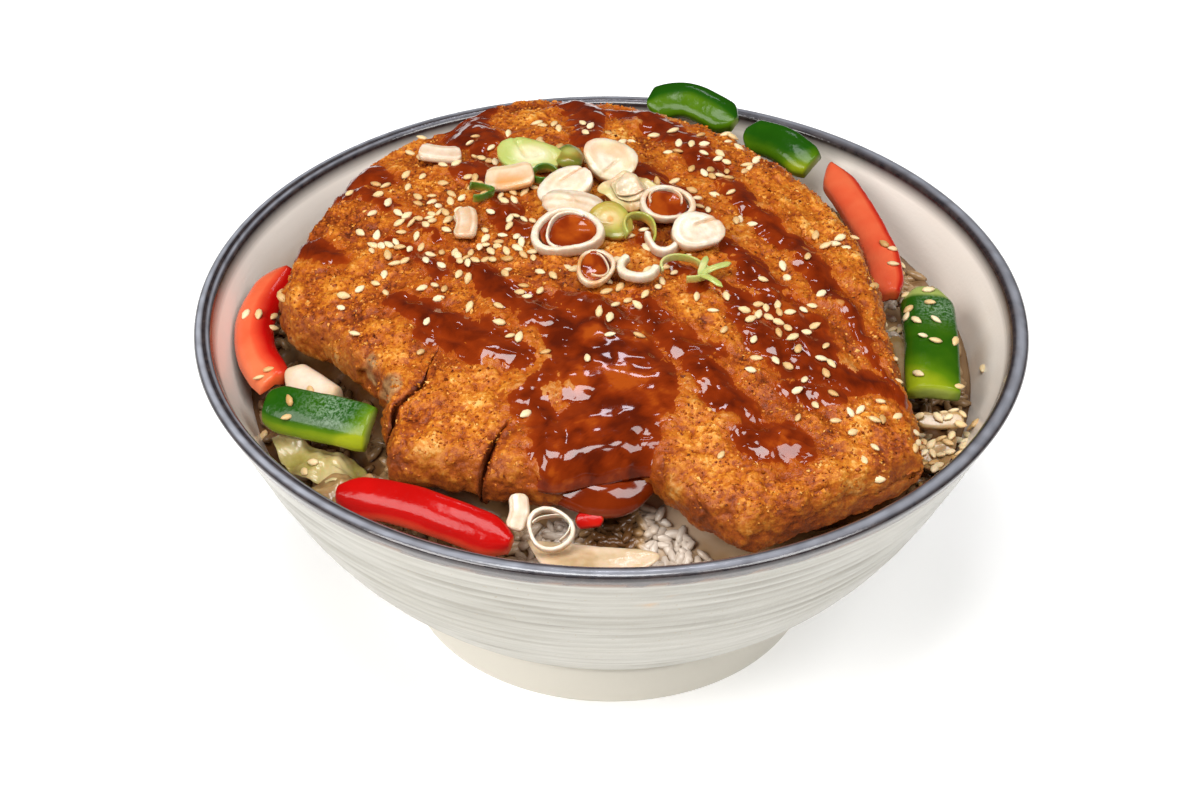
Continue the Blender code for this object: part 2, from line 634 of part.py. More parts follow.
# Spring onion on the cutlet: x, y, size along x, size along y, height, tilt about X,
# tilt about Y, share of hole, arc in turns, slot
SPRING_ONION = (
    (-21.5, 41.0, 11.0, 8.0, 2.4, 10, 0, 0.0, 1.0, "leek_green"),
    (-26.5, 31.5, 8.0, 6.5, 3.0, 8, -6, 0.0, 1.0, "leek_white"),
    (-33.5, 24.5, 5.2, 4.2, 2.0, 0, 10, 0.6, 0.7, "leek_green"),
    (-17.2, 32.8, 5.4, 4.0, 2.0, 12, 0, 0.6, 0.7, "leek_green"),
    (-11.5, 42.0, 6.4, 6.2, 2.2, -12, 8, 0.0, 1.0, "leek_green"),
    (-1.0, 35.0, 10.6, 9.0, 3.2, 22, 6, 0.62, 1.0, "leek_white"),
    (-12.8, 24.8, 9.0, 7.4, 3.2, 14, -8, 0.6, 1.0, "leek_white"),
    (-10.8, 15.8, 9.6, 7.4, 3.0, 10, 8, 0.55, 1.0, "leek_white"),
    (-11.5, 4.0, 12.4, 11.4, 3.4, 16, -6, 0.68, 1.0, "leek_white"),
    (3.6, 21.0, 11.0, 10.4, 3.6, 24, 4, 0.62, 1.0, "leek_white"),
    (14.2, 15.8, 9.6, 8.6, 3.0, 18, 8, 0.62, 1.0, "leek_white"),
    (12.6, 3.2, 6.0, 5.0, 2.2, 10, 0, 0.5, 1.0, "leek_white"),
    (21.2, 4.6, 9.0, 8.6, 2.8, 20, 10, 0.64, 1.0, "leek_white"),
    (6.8, -8.6, 7.6, 8.6, 2.6, 12, -8, 0.62, 1.0, "leek_white"),
    (-4.6, -10.0, 7.4, 8.6, 2.6, 14, 6, 0.64, 1.0, "leek_white"),
    (-0.8, 9.0, 6.8, 7.8, 2.6, 16, -4, 0.6, 1.0, "leek_green"),
    (6.6, 6.2, 5.0, 6.4, 2.4, 10, 10, 0.58, 1.0, "leek_green"),
    (17.6, -8.4, 9.6, 5.0, 2.2, 8, 4, 0.0, 1.0, "leek_green"),
    (-44.0, 46.5, 8.0, 4.6, 1.8, 6, 4, 0.0, 1.0, "leek_white"),
    (-36.8, 13.0, 4.6, 8.0, 1.8, 6, -4, 0.0, 1.0, "leek_white"),
)
RING_SIDES = 12


def onion_places():
    """Plan position and reach of each piece that lies on the cutlet."""
    return [(row[0], row[1], max(row[2], row[3]) / 2) for row in SPRING_ONION]


def make_ring(name, centre, sizes, height, tilts, hole, arc, slot):
    """A ring, an open curl or, without a hole, a solid slice."""
    closed = arc >= 1.0
    sides = RING_SIDES if closed else 8
    count = sides if closed else sides + 1
    tilt = Euler((math.radians(tilts[0]), math.radians(tilts[1]), 0.0)).to_matrix()
    loops = [(1.0, -0.42), (1.0, 0.42)]
    if hole > 0:
        loops += [(hole, 0.42), (hole * 0.94, -0.42)]
    points = []
    for k in range(count):
        turn = 2 * math.pi * arc * k / sides
        for reach, level in loops:
            x = 0.5 * sizes[0] * reach * math.cos(turn)
            y = 0.5 * sizes[1] * reach * math.sin(turn)
            points.append(tuple(Vector(centre) + tilt @ Vector((x, y, height * level))))
    width = len(loops)
    faces = []
    for k in range(sides):
        after = (k + 1) % count
        for j in range(width if hole > 0 else width - 1):
            j_next = (j + 1) % width
            here, there = k * width, after * width
            faces.append((here + j, there + j, there + j_next, here + j_next))
    if hole <= 0:
        faces.append(tuple(k * width + width - 1 for k in range(count)))
        faces.append(tuple(k * width for k in range(count - 1, -1, -1)))
    elif not closed:
        final = (count - 1) * width
        faces.append(tuple(range(width)))
        faces.append(tuple(range(final + width - 1, final - 1, -1)))
    return add_object(name, points, faces, slot)


def make_spring_onion():
    for number, row in enumerate(SPRING_ONION, start=1):
        x, y, size_x, size_y, height, tilt_x, tilt_y, hole, arc, slot = row
        reach_x, reach_y = size_x / 2 * 1.05, size_y / 2 * 1.05
        slope_x, slope_y = math.tan(math.radians(-tilt_y)), math.tan(math.radians(tilt_x))
        lift = 0.0
        for k in range(16):
            turn = 2 * math.pi * k / 16
            for reach in (0.6, 1.0):
                px, py = x + reach * reach_x * math.cos(turn), y + reach * reach_y * math.sin(turn)
                under = slope_x * (px - x) + slope_y * (py - y) - height * 0.46
                lift = max(lift, crust_height(px, py) - under)
        make_ring("spring_onion_%d" % number, (x, y, lift + CLEARANCE), (size_x, size_y), height,
                  (tilt_x, tilt_y), hole, arc, slot)
    make_ring("spring_onion_21", (-13.6, -75.0, 73.4), (9.6, 8.4), 2.6, (28, -4), 0.72, 1.0,
              "leek_white")
    make_ring("spring_onion_22", (-21.0, -70.6, 74.6), (3.6, 6.4), 1.6, (30, 8), 0.0, 1.0,
              "leek_white")


def build():
    for old in list(bpy.data.objects):
        bpy.data.objects.remove(old)
    make_bowl()
    make_rice()
    make_katsu()
    make_peppers()
    make_greens()
    make_spring_onion()


build()
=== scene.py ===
# Look of the rice bowl with a sliced breaded cutlet, sauce, peppers and spring onion.
# Lengths are in millimetres and are turned into metres by MM.
# The front of the dish is -Y and +Z is up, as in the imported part.

import math
import random

import bpy
import numpy as np
from mathutils import Euler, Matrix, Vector, noise
from mathutils.bvhtree import BVHTree

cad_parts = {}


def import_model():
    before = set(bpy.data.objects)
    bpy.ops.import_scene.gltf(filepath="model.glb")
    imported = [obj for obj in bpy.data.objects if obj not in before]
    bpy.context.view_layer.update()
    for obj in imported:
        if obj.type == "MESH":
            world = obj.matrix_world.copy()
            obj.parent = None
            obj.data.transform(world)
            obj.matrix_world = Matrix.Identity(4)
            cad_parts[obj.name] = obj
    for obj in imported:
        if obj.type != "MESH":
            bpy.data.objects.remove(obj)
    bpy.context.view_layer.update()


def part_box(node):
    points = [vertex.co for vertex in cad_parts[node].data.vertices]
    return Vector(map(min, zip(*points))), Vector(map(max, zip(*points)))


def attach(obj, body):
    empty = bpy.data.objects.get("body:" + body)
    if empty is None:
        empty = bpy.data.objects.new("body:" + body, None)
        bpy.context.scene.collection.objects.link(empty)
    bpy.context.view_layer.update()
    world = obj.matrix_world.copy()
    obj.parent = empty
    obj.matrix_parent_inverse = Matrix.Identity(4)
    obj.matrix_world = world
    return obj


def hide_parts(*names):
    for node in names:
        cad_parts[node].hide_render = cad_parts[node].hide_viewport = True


MM = 0.001

# Bowl, as in the part
RIM_RADIUS = 100.0
RIM_WALL = 4.1
LIP_START = 79.3
LIP_RISE = 1.2
OUTER_LOW = ((49.7, 10.5), (80.95, 35.5), (81.0, 41.5), (RIM_RADIUS, LIP_START))
INNER_WALL = ((38.0, 14.8), (72.0, 28.0), (76.9, 41.5), (95.9, LIP_START))

# Sides of the bowl's look, and where the dark glaze of the rim begins
BOWL_SIDES = 264
BAND_START = 76.4

# Cutlet, as in the part
CUT_ANGLE = math.radians(60.0)
CUTS = (-20.0, 7.5, 33.0)
LEFT_END, RIGHT_END = -79.3, 88.2
THICKNESS = 13.0
EDGE_RADIUS = 6.0
FRONT_EDGE = ((-79.5, -1.0), (-74.5, -22.7), (-68.2, -40.7), (-63.7, -46.0), (-46.2, -49.5),
              (-30.9, -55.5), (-21.7, -66.0), (-14.6, -75.0), (2.9, -70.5), (11.4, -69.5),
              (23.0, -63.5), (33.0, -54.0), (39.0, -50.0), (51.2, -53.0), (64.1, -52.5),
              (72.0, -43.0), (80.3, -27.5), (88.4, -11.0))
BACK_EDGE = ((-79.5, 14.0), (-70.3, 34.4), (-65.9, 56.3), (-62.5, 64.0), (-50.7, 67.5),
             (-34.2, 73.0), (-17.7, 70.2), (-4.9, 70.5), (15.2, 62.3), (30.3, 54.5),
             (42.9, 46.0), (55.6, 31.9), (65.7, 17.6), (75.9, 5.3), (88.4, -8.0))

# Spacing of the points in the coating and in the sauce
CRUST_SPACING = 0.40
SAUCE_SPACING = 0.58

# Sauce lines: x, y and half width at each point
SAUCE = (
    ((-32, 76, 3), (-36, 65, 6), (-38, 59, 6), (-30.5, 55, 5)),
    ((-32, 51, 3), (-33, 40, 4), (-28.5, 27.5, 4), (-24, 15.5, 5), (-21, 11, 3)),
    ((-68, 39, 3), (-65, 44.5, 5), (-60.5, 45, 5), (-56, 38.5, 3)),
    ((-64, 37.5, 2.5), (-57, 31, 2.2), (-50.5, 23, 2.6), (-46.5, 16, 3.4), (-41.5, 10.5, 2)),
    ((-77.5, 18.5, 3), (-72.5, 13.5, 4.5), (-67.5, 9.5, 4), (-64, 6.5, 2)),
    ((-41.5, 43, 3), (-37, 41, 4), (-32.5, 36, 3)),
    ((-38, 3.5, 2), (-33, -1, 3.4), (-28.5, -6.5, 4.2), (-24, -13.5, 4.6), (-19, -19, 4.2)),
    ((-52.5, 12.5, 1.8), (-46, 5, 1.8), (-41, -2, 2.4), (-44, -6.5, 2)),
    ((-51, -10.5, 3), (-45, -16, 4), (-39, -20, 4.5), (-33, -25.5, 4.5), (-27, -29, 5), (-21, -33, 4)),
    ((-29.5, -20, 2.5), (-26, -25, 3.4), (-22.5, -30.5, 3.4), (-19.5, -35, 3)),
    ((-23, -13, 3), (-18, -16.5, 4), (-13, -22.5, 5), (-10.5, -30, 5), (-10, -36.5, 4)),
    ((-12, -35, 3), (-15, -41, 3), (-18, -46.5, 4.5), (-16, -52, 5), (-12.5, -58.5, 7),
     (-11.5, -65.5, 6), (-12, -70, 4)),
    ((-5, -27, 8), (-1.5, -32, 11), (1, -38.5, 14), (4, -44, 12), (1.5, -49.5, 11)),
    ((1, -53, 11), (-2.5, -58.5, 12), (-5, -64, 11), (-2.5, -69, 9), (2, -71, 4)),
    ((9, -50.5, 3), (6.5, -55, 4), (4.5, -60, 5), (2.5, -64.5, 6)),
    ((-12, 78.5, 3), (-8.5, 75.5, 5), (-6, 69.5, 5), (-6.5, 60, 4), (-6, 50.5, 3), (-3, 47, 2)),
    ((1, 72.5, 3), (6, 71, 5), (10, 64.5, 5), (16, 58.5, 5), (20, 54.5, 4)),
    ((19, 52, 4), (23, 45, 5), (27, 35, 4.5), (31.5, 26.5, 4), (37.5, 19.5, 3.4), (40.5, 14.5, 3)),
    ((38, 15.5, 4), (44, 10, 4), (48.5, 1.5, 4), (53, -6.5, 4), (56.5, -12.5, 3.4), (59, -20, 3)),
    ((1.5, 40.5, 2), (7, 39, 4), (11.5, 33.5, 4), (17, 25.5, 3.4), (21.5, 18.5, 3), (25, 11, 3)),
    ((26.5, 10.5, 2.6), (30, 4.5, 3.6), (34.5, -4, 4.6), (38.5, -12, 6.5), (43, -20, 7),
     (46.5, -27.5, 7), (48.5, -35, 5)),
    ((41.5, -31, 5), (48, -33, 6), (55, -35.5, 5), (61, -36.5, 4), (64.5, -39, 2)),
    ((58, -20, 1.6), (60.5, -26.5, 1.4), (63.5, -32, 1.6), (66, -40, 1.6)),
    ((6.5, -15, 3), (10, -21, 4), (14, -27.5, 4.5), (19.5, -31, 5), (24.5, -31, 3)),
    ((18, -31.5, 3), (20.5, -36.5, 4.5), (23.5, -41.5, 5), (28, -46, 4.5), (32, -48, 3)),
    ((26.5, -9.5, 2.6), (29.5, -13, 4), (33, -19, 5), (37, -27.5, 5), (40, -35.5, 4)),
    ((41, -41.5, 3), (46, -42, 4), (51, -41.5, 3)),
    ((31, -54, 4), (34, -56, 6), (38.5, -57, 7), (42.5, -58, 5)),
    ((6.5, 7.5, 2), (10.5, 3, 2.4), (16, -3, 2.4), (21, -9, 2.4)),
    ((-12, -15, 3), (-6.5, -17, 4), (-0.5, -19.5, 4), (6.5, -22.5, 3)),
    ((-44.5, -22, 2), (-37.5, -28, 2.5), (-30.5, -33, 2.2)),
)

# Seeds: none lies farther out, or closer to another one, than this, and half the size of one
SEED_REACH = 91.5
SEED_GAP = 1.7
SEED_HALF = (1.6, 0.92, 0.55)

# Rice: how far its top lies below the cutlet's top, and how much lower near the wall
RICE_DEPTH = 14.8
RICE_FALL = 6.5

# Rice grains: how many, half the size of one and how far out they go
GRAINS = 1200
GRAIN_HALF = (2.7, 1.15, 1.0)
GRAIN_REACH = 86

# Loose crumbs, at most: places in sauce or off the cutlet are left out
FLAKES = 9000

# Sesame seeds on the food and the wall: centre x, y, spread and how many at most
SEED_CLUSTERS = (
    (-38, 18, 11, 62), (-22, 34, 9, 30), (-30, 48, 9, 16), (-52, 30, 9, 16), (-14, 52, 8, 12),
    (20, 22, 8, 20), (8, 48, 8, 14), (24, 40, 6, 12), (0, 2, 9, 20), (-24, -2, 8, 16),
    (14, -10, 8, 10), (38, -22, 7, 26), (56, -40, 8, 16), (48, 4, 9, 12), (-44, -12, 12, 14),
    (-8, -30, 10, 8), (-60, 4, 8, 10), (30, 62, 8, 10), (79, -33, 4.5, 40), (76, -45, 4, 16),
    (63, -62, 5, 8), (-85, 4, 3.5, 5), (77, -4, 6, 10), (70, 12, 5, 12), (-83, -22, 4, 4), (-75, -32, 5, 3),
    (70, 30, 5, 7), (-70, -46, 5, 4), (12, -80, 8, 4),
)

# Pepper strips: path, width, thickness, facing, taper of both ends, curl, bend, and how the
# colour goes: base, rise towards one side from a place on, rise towards the far end
PEPPERS = {
    "green_pepper_1": (((-80.5, -32, 75.5), (-67, -38, 76.8), (-56, -43, 77.5)), 11.5, 3.4,
                       (-0.10, -0.62, 0.78), (0.72, 0.9), 1.0, (0.45, 0.25), (0.42, 0.42, 0.35, 0.45)),
    "green_pepper_2": (((76.8, 14.5, 76.5), (76.6, -6, 77), (76, -24.5, 75.2)), 13.0, 4.2,
                       (0.05, -0.15, 0.98), (0.62, 0.97), 0.8, (0.6, 0.2), (0.46, 0.0, 0.9, 0.50)),
    "green_pepper_3": (((9.5, 88, 84.5), (20, 87.2, 86.8), (31.5, 79.5, 84.5)), 9.5, 3.8,
                       (0.05, -0.55, 0.83), (0.35, 0.45), 0.8, (1.0, 0.0), (0.34, 0.30, -0.5, 0.0)),
    "green_pepper_4": (((35, 79.5, 81), (43, 73.5, 82.3), (51, 66.5, 80.2)), 9.5, 3.8,
                       (-0.10, -0.60, 0.79), (0.45, 0.75), 0.8, (1.0, 0.0), (0.38, 0.22, 0.2, 0.35)),
    "red_pepper_1": (((-80.5, 22, 77), (-85.3, 8, 75), (-84.8, -6, 74), (-79.5, -19, 74)), 8.8, 3.8,
                     (0.35, -0.30, 0.88), (0.6, 0.75), 0.4, (0.0, 0.75), (0.42, 0.42, -0.05, 0.10)),
    "red_pepper_2": (((-62, -61, 72), (-49, -65.5, 73.8), (-36, -71.5, 73.5), (-22.5, -77, 71)),
                     9.4, 3.6, (0.0, -0.60, 0.80), (0.5, 0.4), 0.8, (0.30, 0.35),
                     (0.36, 0.34, 0.62, 0.0)),
    "red_pepper_3": (((55.8, 67, 79), (61.5, 47.5, 80), (66.5, 28, 79.5), (68, 12, 78)), 8.4, 3.8,
                     (0.15, -0.35, 0.92), (0.25, 0.5), 0.5, (-0.1, 0.25), (0.50, 0.32, -0.65, 0.0)),
    "red_pepper_4": (((-7.6, -70.2, 72), (-2, -69.6, 72.2)), 3.2, 1.8, (0.0, -0.60, 0.80),
                     (0.6, 0.6), 0.2, (1.0, 0.0), (0.45, 0.0, 0.9, 0.0)),
}

# Painted highlight: whitish blister glints painted on the skin, their place and reach along the strip
PAINTED_GLINT_PATCHES = {"green_pepper_1": (0.60, 0.25), "green_pepper_2": (0.22, 0.13)}

# Spring onion: kind, size along x and y, height, tilts about x and y, greenness, brownness
ONIONS = {
    1: ("disc", 13.4, 9.2, 3.0, 20, 4, 0.42, 0.05),
    2: ("chip", 9.8, 6.6, 1.9, 24, -14, 0.10, 0.50),
    3: ("curl", 6.0, 4.8, 2.3, 0, 10, 0.92, 0.0),
    4: ("curl", 6.8, 4.6, 2.3, 12, 0, 0.88, 0.0),
    5: ("tube", 5.6, 7.4, 2.8, -12, 8, 0.74, 0.30),
    6: ("disc", 12.2, 9.6, 3.8, 34, 10, 0.12, 0.20),
    7: ("disc", 11.4, 8.8, 3.4, 26, -16, 0.04, 0.05),
    8: ("dome", 12.8, 8.8, 3.4, 14, 10, 0.06, 0.15),
    9: ("filled ring", 14.0, 12.2, 3.6, 26, -10, 0.0, 0.10),
    10: ("crumple", 12.4, 11.0, 3.6, 30, 6, 0.20, 0.0),
    11: ("filled ring", 11.0, 9.8, 2.4, 24, 14, 0.0, 0.25),
    12: ("half", 7.8, 6.8, 3.6, 24, 0, 0.0, 0.0),
    13: ("disc", 10.4, 8.6, 4.2, 36, 18, 0.0, 0.12),
    14: ("half", 8.8, 9.2, 2.8, 18, -8, 0.10, 0.0),
    15: ("filled ring", 8.2, 9.0, 1.9, 20, 8, 0.10, 0.60),
    16: ("disc", 9.0, 9.2, 2.8, 28, -8, 0.66, 0.22),
    17: ("curl", 7.4, 9.0, 3.0, 20, 14, 0.56, 0.10),
    18: ("forked curl", 10.6, 6.8, 2.2, 10, 4, 0.44, 0.0),
    19: ("chip", 8.4, 4.8, 1.8, 12, 8, 0.0, 0.0),
    20: ("chip", 4.8, 8.4, 1.8, 10, -8, 0.0, 0.20),
    21: ("ring", 9.8, 8.6, 2.4, 34, -4, 0.0, 0.0),
    22: ("chip", 3.9, 6.8, 1.8, 36, 10, 0.0, 0.0),
}

# The heap on the cutlet: its pieces, its middle, how far they move in and how much of the tilt stays
HEAP_COUNT = 20
HEAP_MIDDLE = np.array((4.0, 22.0))
HEAP_PULL = 1.5
LEAN_SHARE = 0.75

# All pieces are drawn a little larger and higher than their solids, with so many sides to a full turn
ONION_GROWTH = 1.16
ONION_LIFT = np.array((0.0, 0.0, 0.25))
ONION_SIDES = 72

# Colours of the vegetables from dark to light, or from light to brown for the leaves
GREEN_SKIN = ((0.0, (0.003, 0.022, 0.001)), (0.42, (0.012, 0.070, 0.002)), (0.72, (0.08, 0.17, 0.003)),
              (1.0, (0.30, 0.35, 0.010)))
RED_SKIN = ((0.0, (0.16, 0.001, 0.001)), (0.42, (0.46, 0.004, 0.003)), (0.75, (0.66, 0.075, 0.028)),
            (1.0, (0.74, 0.20, 0.08)))
LEAF_TONES = ((0.0, (0.62, 0.50, 0.28)), (0.35, (0.50, 0.40, 0.17)), (0.65, (0.34, 0.28, 0.07)),
              (1.0, (0.13, 0.075, 0.015)))
BROWN_LEAF_TONES = ((0.0, (0.58, 0.43, 0.24)), (0.5, (0.34, 0.20, 0.08)), (1.0, (0.09, 0.04, 0.010)))
PALE_ONION_TONES = ((0.0, (0.36, 0.22, 0.08)), (0.5, (0.58, 0.43, 0.26)), (1.0, (0.74, 0.60, 0.48)))

# Half side of the floor, and the brightness all round
FLOOR_HALF = 4000.0
WORLD_STRENGTH = 0.045
WHITE = (1.0, 1.0, 1.0)

# Lights: name, place, target, size, power and colour
LIGHTS = (
    ("key", (-1000, -900, 1150), (0, 0, 40), (900, 900), 24.0, (1.0, 0.98, 0.96)),
    ("fill", (950, -650, 1500), (0, 0, 40), (900, 900), 18.5, WHITE),
    ("top", (-200, -450, 2400), (0, 0, 0), (1200, 900), 34.0, WHITE),
    ("back_box", (40, 600, 1050), (0, 0, 90), (170, 90), 0.6, (0.90, 0.88, 1.0)),
)

# The camera that was fitted to the photograph, its pitch down from level and its roll
CAMERA_PLACE = (-2.6, -688.6, 563.5)
CAMERA_PITCH = 36.49
CAMERA_ROLL = 0.4
LENS = 105.0


def clamp(value):
    return np.clip(value, 0.0, 1.0)


def smooth_step(value, low, high):
    """0 below low, 1 above high and a smooth rise between them."""
    share = clamp((value - low) / (high - low))
    return share * share * (3.0 - 2.0 * share)


def smooth_fall(value, low, high):
    return 1.0 - smooth_step(value, low, high)


def follow(pairs, place):
    """Value at a place, between pairs of place and value."""
    return np.interp(place, [p[0] for p in pairs], [p[1] for p in pairs])


def ring_points(radius, turn, height):
    return np.stack([radius * np.cos(turn), radius * np.sin(turn), height], axis=1)


def flat_points(x, y):
    return np.stack([x, y, np.zeros(len(x))], axis=1)


def spot_share(points, x, y, near, far):
    """1 close to a spot in plan and 0 far from it."""
    return smooth_fall(np.hypot(points[:, 0] - x, points[:, 1] - y), near, far)


# Noise over arrays of points

def cell_value(cells, seed):
    """Pseudo-random number from 0 to 1 for rows of whole numbers."""
    mixed = cells[..., 0] * 73856093 ^ cells[..., 1] * 19349663 ^ cells[..., 2] * 83492791
    mixed = (mixed + seed * 6542989) & 0xFFFFFFFF
    mixed = ((mixed ^ (mixed >> 15)) * 2246822519) & 0xFFFFFFFF
    mixed = ((mixed ^ (mixed >> 13)) * 3266489917) & 0xFFFFFFFF
    return ((mixed ^ (mixed >> 16)) & 0xFFFFFF) / float(0xFFFFFF)


def value_noise(points, size, seed=0):
    """Smooth noise from -1 to 1 with features of a size."""
    scaled = points / size
    base = np.floor(scaled).astype(np.int64)
    share = scaled - base
    share = share * share * (3.0 - 2.0 * share)
    total = np.zeros(len(points))
    for corner in range(8):
        step = np.array((corner & 1, corner >> 1 & 1, corner >> 2 & 1))
        weight = np.prod(np.where(step == 1, share, 1.0 - share), axis=1)
        total += weight * cell_value(base + step, seed)
    return total * 2.0 - 1.0


def layered_noise(points, size, layers, seed=0):
    total, weight = np.zeros(len(points)), 1.0
    for layer in range(layers):
        total += weight * value_noise(points, size / 2 ** layer, seed + layer)
        weight *= 0.5
    return total / (2.0 - 2.0 * 0.5 ** layers)


def cell_bumps(points, size, seed=0):
    """Rounded lumps, one a cell: 1 on top of a lump and 0 between lumps."""
    scaled = points / size
    base = np.floor(scaled).astype(np.int64)
    nearest = np.full(len(points), 9.0)
    lump = np.zeros(len(points))
    for dx in (-1, 0, 1):
        for dy in (-1, 0, 1):
            for dz in (-1, 0, 1):
                cell = base + np.array((dx, dy, dz))
                spot = np.stack([cell_value(cell, seed + k) for k in (1, 2, 3)], axis=1)
                reach = np.linalg.norm(cell + spot - scaled, axis=1)
                closer = reach < nearest
                nearest = np.where(closer, reach, nearest)
                lump = np.where(closer, cell_value(cell, seed + 4), lump)
    return clamp(1.0 - nearest ** 2) * (0.45 + 0.55 * lump)


# Meshes

def new_object(name, data):
    made = bpy.data.objects.new(name, data)
    bpy.context.scene.collection.objects.link(made)
    return made


def make_piece(name, points, faces, paint, nodes=(), values=None, smooth=True):
    """Make an object from points in millimetres and let it ride on the bowl."""
    mesh = bpy.data.meshes.new(name)
    mesh.from_pydata((np.asarray(points, dtype=float) * MM).tolist(), [], faces)
    mesh.validate()
    mesh.update()
    mesh.polygons.foreach_set("use_smooth", [smooth] * len(mesh.polygons))
    for key, numbers in (values or {}).items():
        layer = mesh.attributes.new(key, "FLOAT", "POINT")
        layer.data.foreach_set("value", np.asarray(numbers, dtype=np.float32))
    mesh.materials.append(paint)
    made = new_object(name, mesh)
    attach(made, "root")
    if nodes:
        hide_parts(*nodes)
    return made


def dress(name, points, faces, paint, values):
    """Make the look of one node of the part."""
    return make_piece(name + "_look", points, faces, paint, (name,), values)


def grid_faces(rows, columns, start=0):
    """Quads of a grid that is stored row by row."""
    faces = []
    for i in range(rows - 1):
        here, above = start + i * columns, start + (i + 1) * columns
        faces += [(here + j, here + j + 1, above + j + 1, above + j) for j in range(columns - 1)]
    return faces


def zip_chains(first, second):
    """Triangles between two chains of point numbers."""
    faces, i, j = [], 0, 0
    while i < len(first) - 1 or j < len(second) - 1:
        ahead_i = (i + 1) / (len(first) - 1) if i < len(first) - 1 else 2.0
        ahead_j = (j + 1) / (len(second) - 1) if j < len(second) - 1 else 2.0
        if ahead_i <= ahead_j:
            faces.append((first[i], first[i + 1], second[j]))
            i += 1
        else:
            faces.append((first[i], second[j + 1], second[j]))
            j += 1
    return faces


def join_parts(parts):
    """Points and faces of several shapes as one."""
    points, faces, count = [], [], 0
    for part_points, part_faces in parts:
        points.append(part_points)
        faces += [tuple(k + count for k in face) for face in part_faces]
        count += len(part_points)
    return np.concatenate(points), faces


def rounded_path(path, count):
    """Points along a rounded curve through the path's points."""
    path = [np.array(p, dtype=float) for p in path]
    padded = [2 * path[0] - path[1]] + path + [2 * path[-1] - path[-2]]
    spots = []
    for step in range(count):
        place = step / (count - 1) * (len(path) - 1)
        index = min(int(place), len(path) - 2)
        t = place - index
        p0, p1, p2, p3 = padded[index:index + 4]
        spots.append(0.5 * ((2 * p1) + (p2 - p0) * t + (2 * p0 - 5 * p1 + 4 * p2 - p3) * t ** 2
                            + (3 * p1 - p0 - 3 * p2 + p3) * t ** 3))
    return np.array(spots)


def unit(vector):
    return vector / np.linalg.norm(vector)


def ball(across, up):
    """Points and faces of a unit ball."""
    points = [(0.0, 0.0, -1.0)]
    for ring in range(1, up):
        tilt = math.pi * ring / up
        for k in range(across):
            turn = 2 * math.pi * k / across
            points.append((math.sin(tilt) * math.cos(turn), math.sin(tilt) * math.sin(turn),
                           -math.cos(tilt)))
    points.append((0.0, 0.0, 1.0))
    last = len(points) - 1
    faces = []
    for k in range(across):
        after = (k + 1) % across
        faces.append((0, 1 + after, 1 + k))
        for ring in range(up - 2):
            here = 1 + ring * across
            faces.append((here + k, here + after, here + across + after, here + across + k))
        faces.append((last, last - across + k, last - across + after))
    return np.array(points), faces


# Materials

def add_node(tree, kind, inputs=None, **settings):
    node = tree.nodes.new("ShaderNode" + kind)
    for key, value in settings.items():
        setattr(node, key, value)
    for key, value in (inputs or {}).items():
        if isinstance(value, bpy.types.NodeSocket):
            tree.links.new(value, node.inputs[key])
        else:
            node.inputs[key].default_value = value
    return node


def new_paint(name, **plain):
    """A material with its shader's plain values set on the shader itself."""
    paint = bpy.data.materials.new(name)
    paint.use_nodes = True
    shader = paint.node_tree.nodes["Principled BSDF"]
    for key, value in plain.items():
        shader.inputs[key.replace("_", " ")].default_value = value
    return paint, paint.node_tree, shader


def ramp(tree, factor, stops):
    """Colour ramp. Each stop is a place and a colour."""
    node = add_node(tree, "ValToRGB", {"Fac": factor})
    elements = node.color_ramp.elements
    while len(elements) < len(stops):
        elements.new(0.5)
    for element, (place, colour) in zip(elements, stops):
        element.position = place
        element.color = (*colour, 1.0)
    return node.outputs["Color"]


def value_of(tree, name):
    return add_node(tree, "Attribute", attribute_name=name).outputs["Fac"]


def noise_of(tree, size, detail=3.0, rough=0.55, stretch=None):
    """Noise whose features have a size in millimetres."""
    place = add_node(tree, "TexCoord").outputs["Object"]
    if stretch:
        place = add_node(tree, "Mapping", {"Vector": place, "Scale": stretch}).outputs["Vector"]
    made = add_node(tree, "TexNoise", {"Vector": place, "Scale": 1.0 / (size * MM),
                                       "Detail": detail, "Roughness": rough})
    return made.outputs["Fac"]


def cells_of(tree, size):
    """A random value for each small cell."""
    place = add_node(tree, "TexCoord").outputs["Object"]
    made = add_node(tree, "TexVoronoi", {"Vector": place, "Scale": 1.0 / (size * MM)})
    return add_node(tree, "SeparateColor", {"Color": made.outputs["Color"]}).outputs["Red"]


def sum_of(tree, first, *others):
    for other in others:
        first = add_node(tree, "Math", {0: first, 1: other}, operation="ADD").outputs[0]
    return first


def sharpen(tree, value, low, high, to_low=0.0, to_high=1.0):
    return add_node(tree, "MapRange", {"Value": value, "From Min": low, "From Max": high,
                                       "To Min": to_low, "To Max": to_high}).outputs["Result"]


def cloud_of(tree, size, detail, spread):
    """Soft patches from minus to plus a spread."""
    return sharpen(tree, noise_of(tree, size, detail), 0.3, 0.7, -spread, spread)


def paint_with(tree, shader, colour):
    tree.links.new(colour, shader.inputs["Base Color"])


def mix(tree, factor, first, second):
    node = add_node(tree, "Mix", data_type="RGBA")
    for key, value in ((0, factor), (6, first), (7, second)):
        if isinstance(value, bpy.types.NodeSocket):
            tree.links.new(value, node.inputs[key])
        elif key == 0:
            node.inputs[key].default_value = value
        else:
            node.inputs[key].default_value = (*value, 1.0)
    return node.outputs[2]


def bump(tree, shader, height, depth):
    """Fine relief, its depth in millimetres."""
    made = add_node(tree, "Bump", {"Height": height, "Distance": depth * MM, "Strength": 1.0})
    tree.links.new(made.outputs["Normal"], shader.inputs["Normal"])


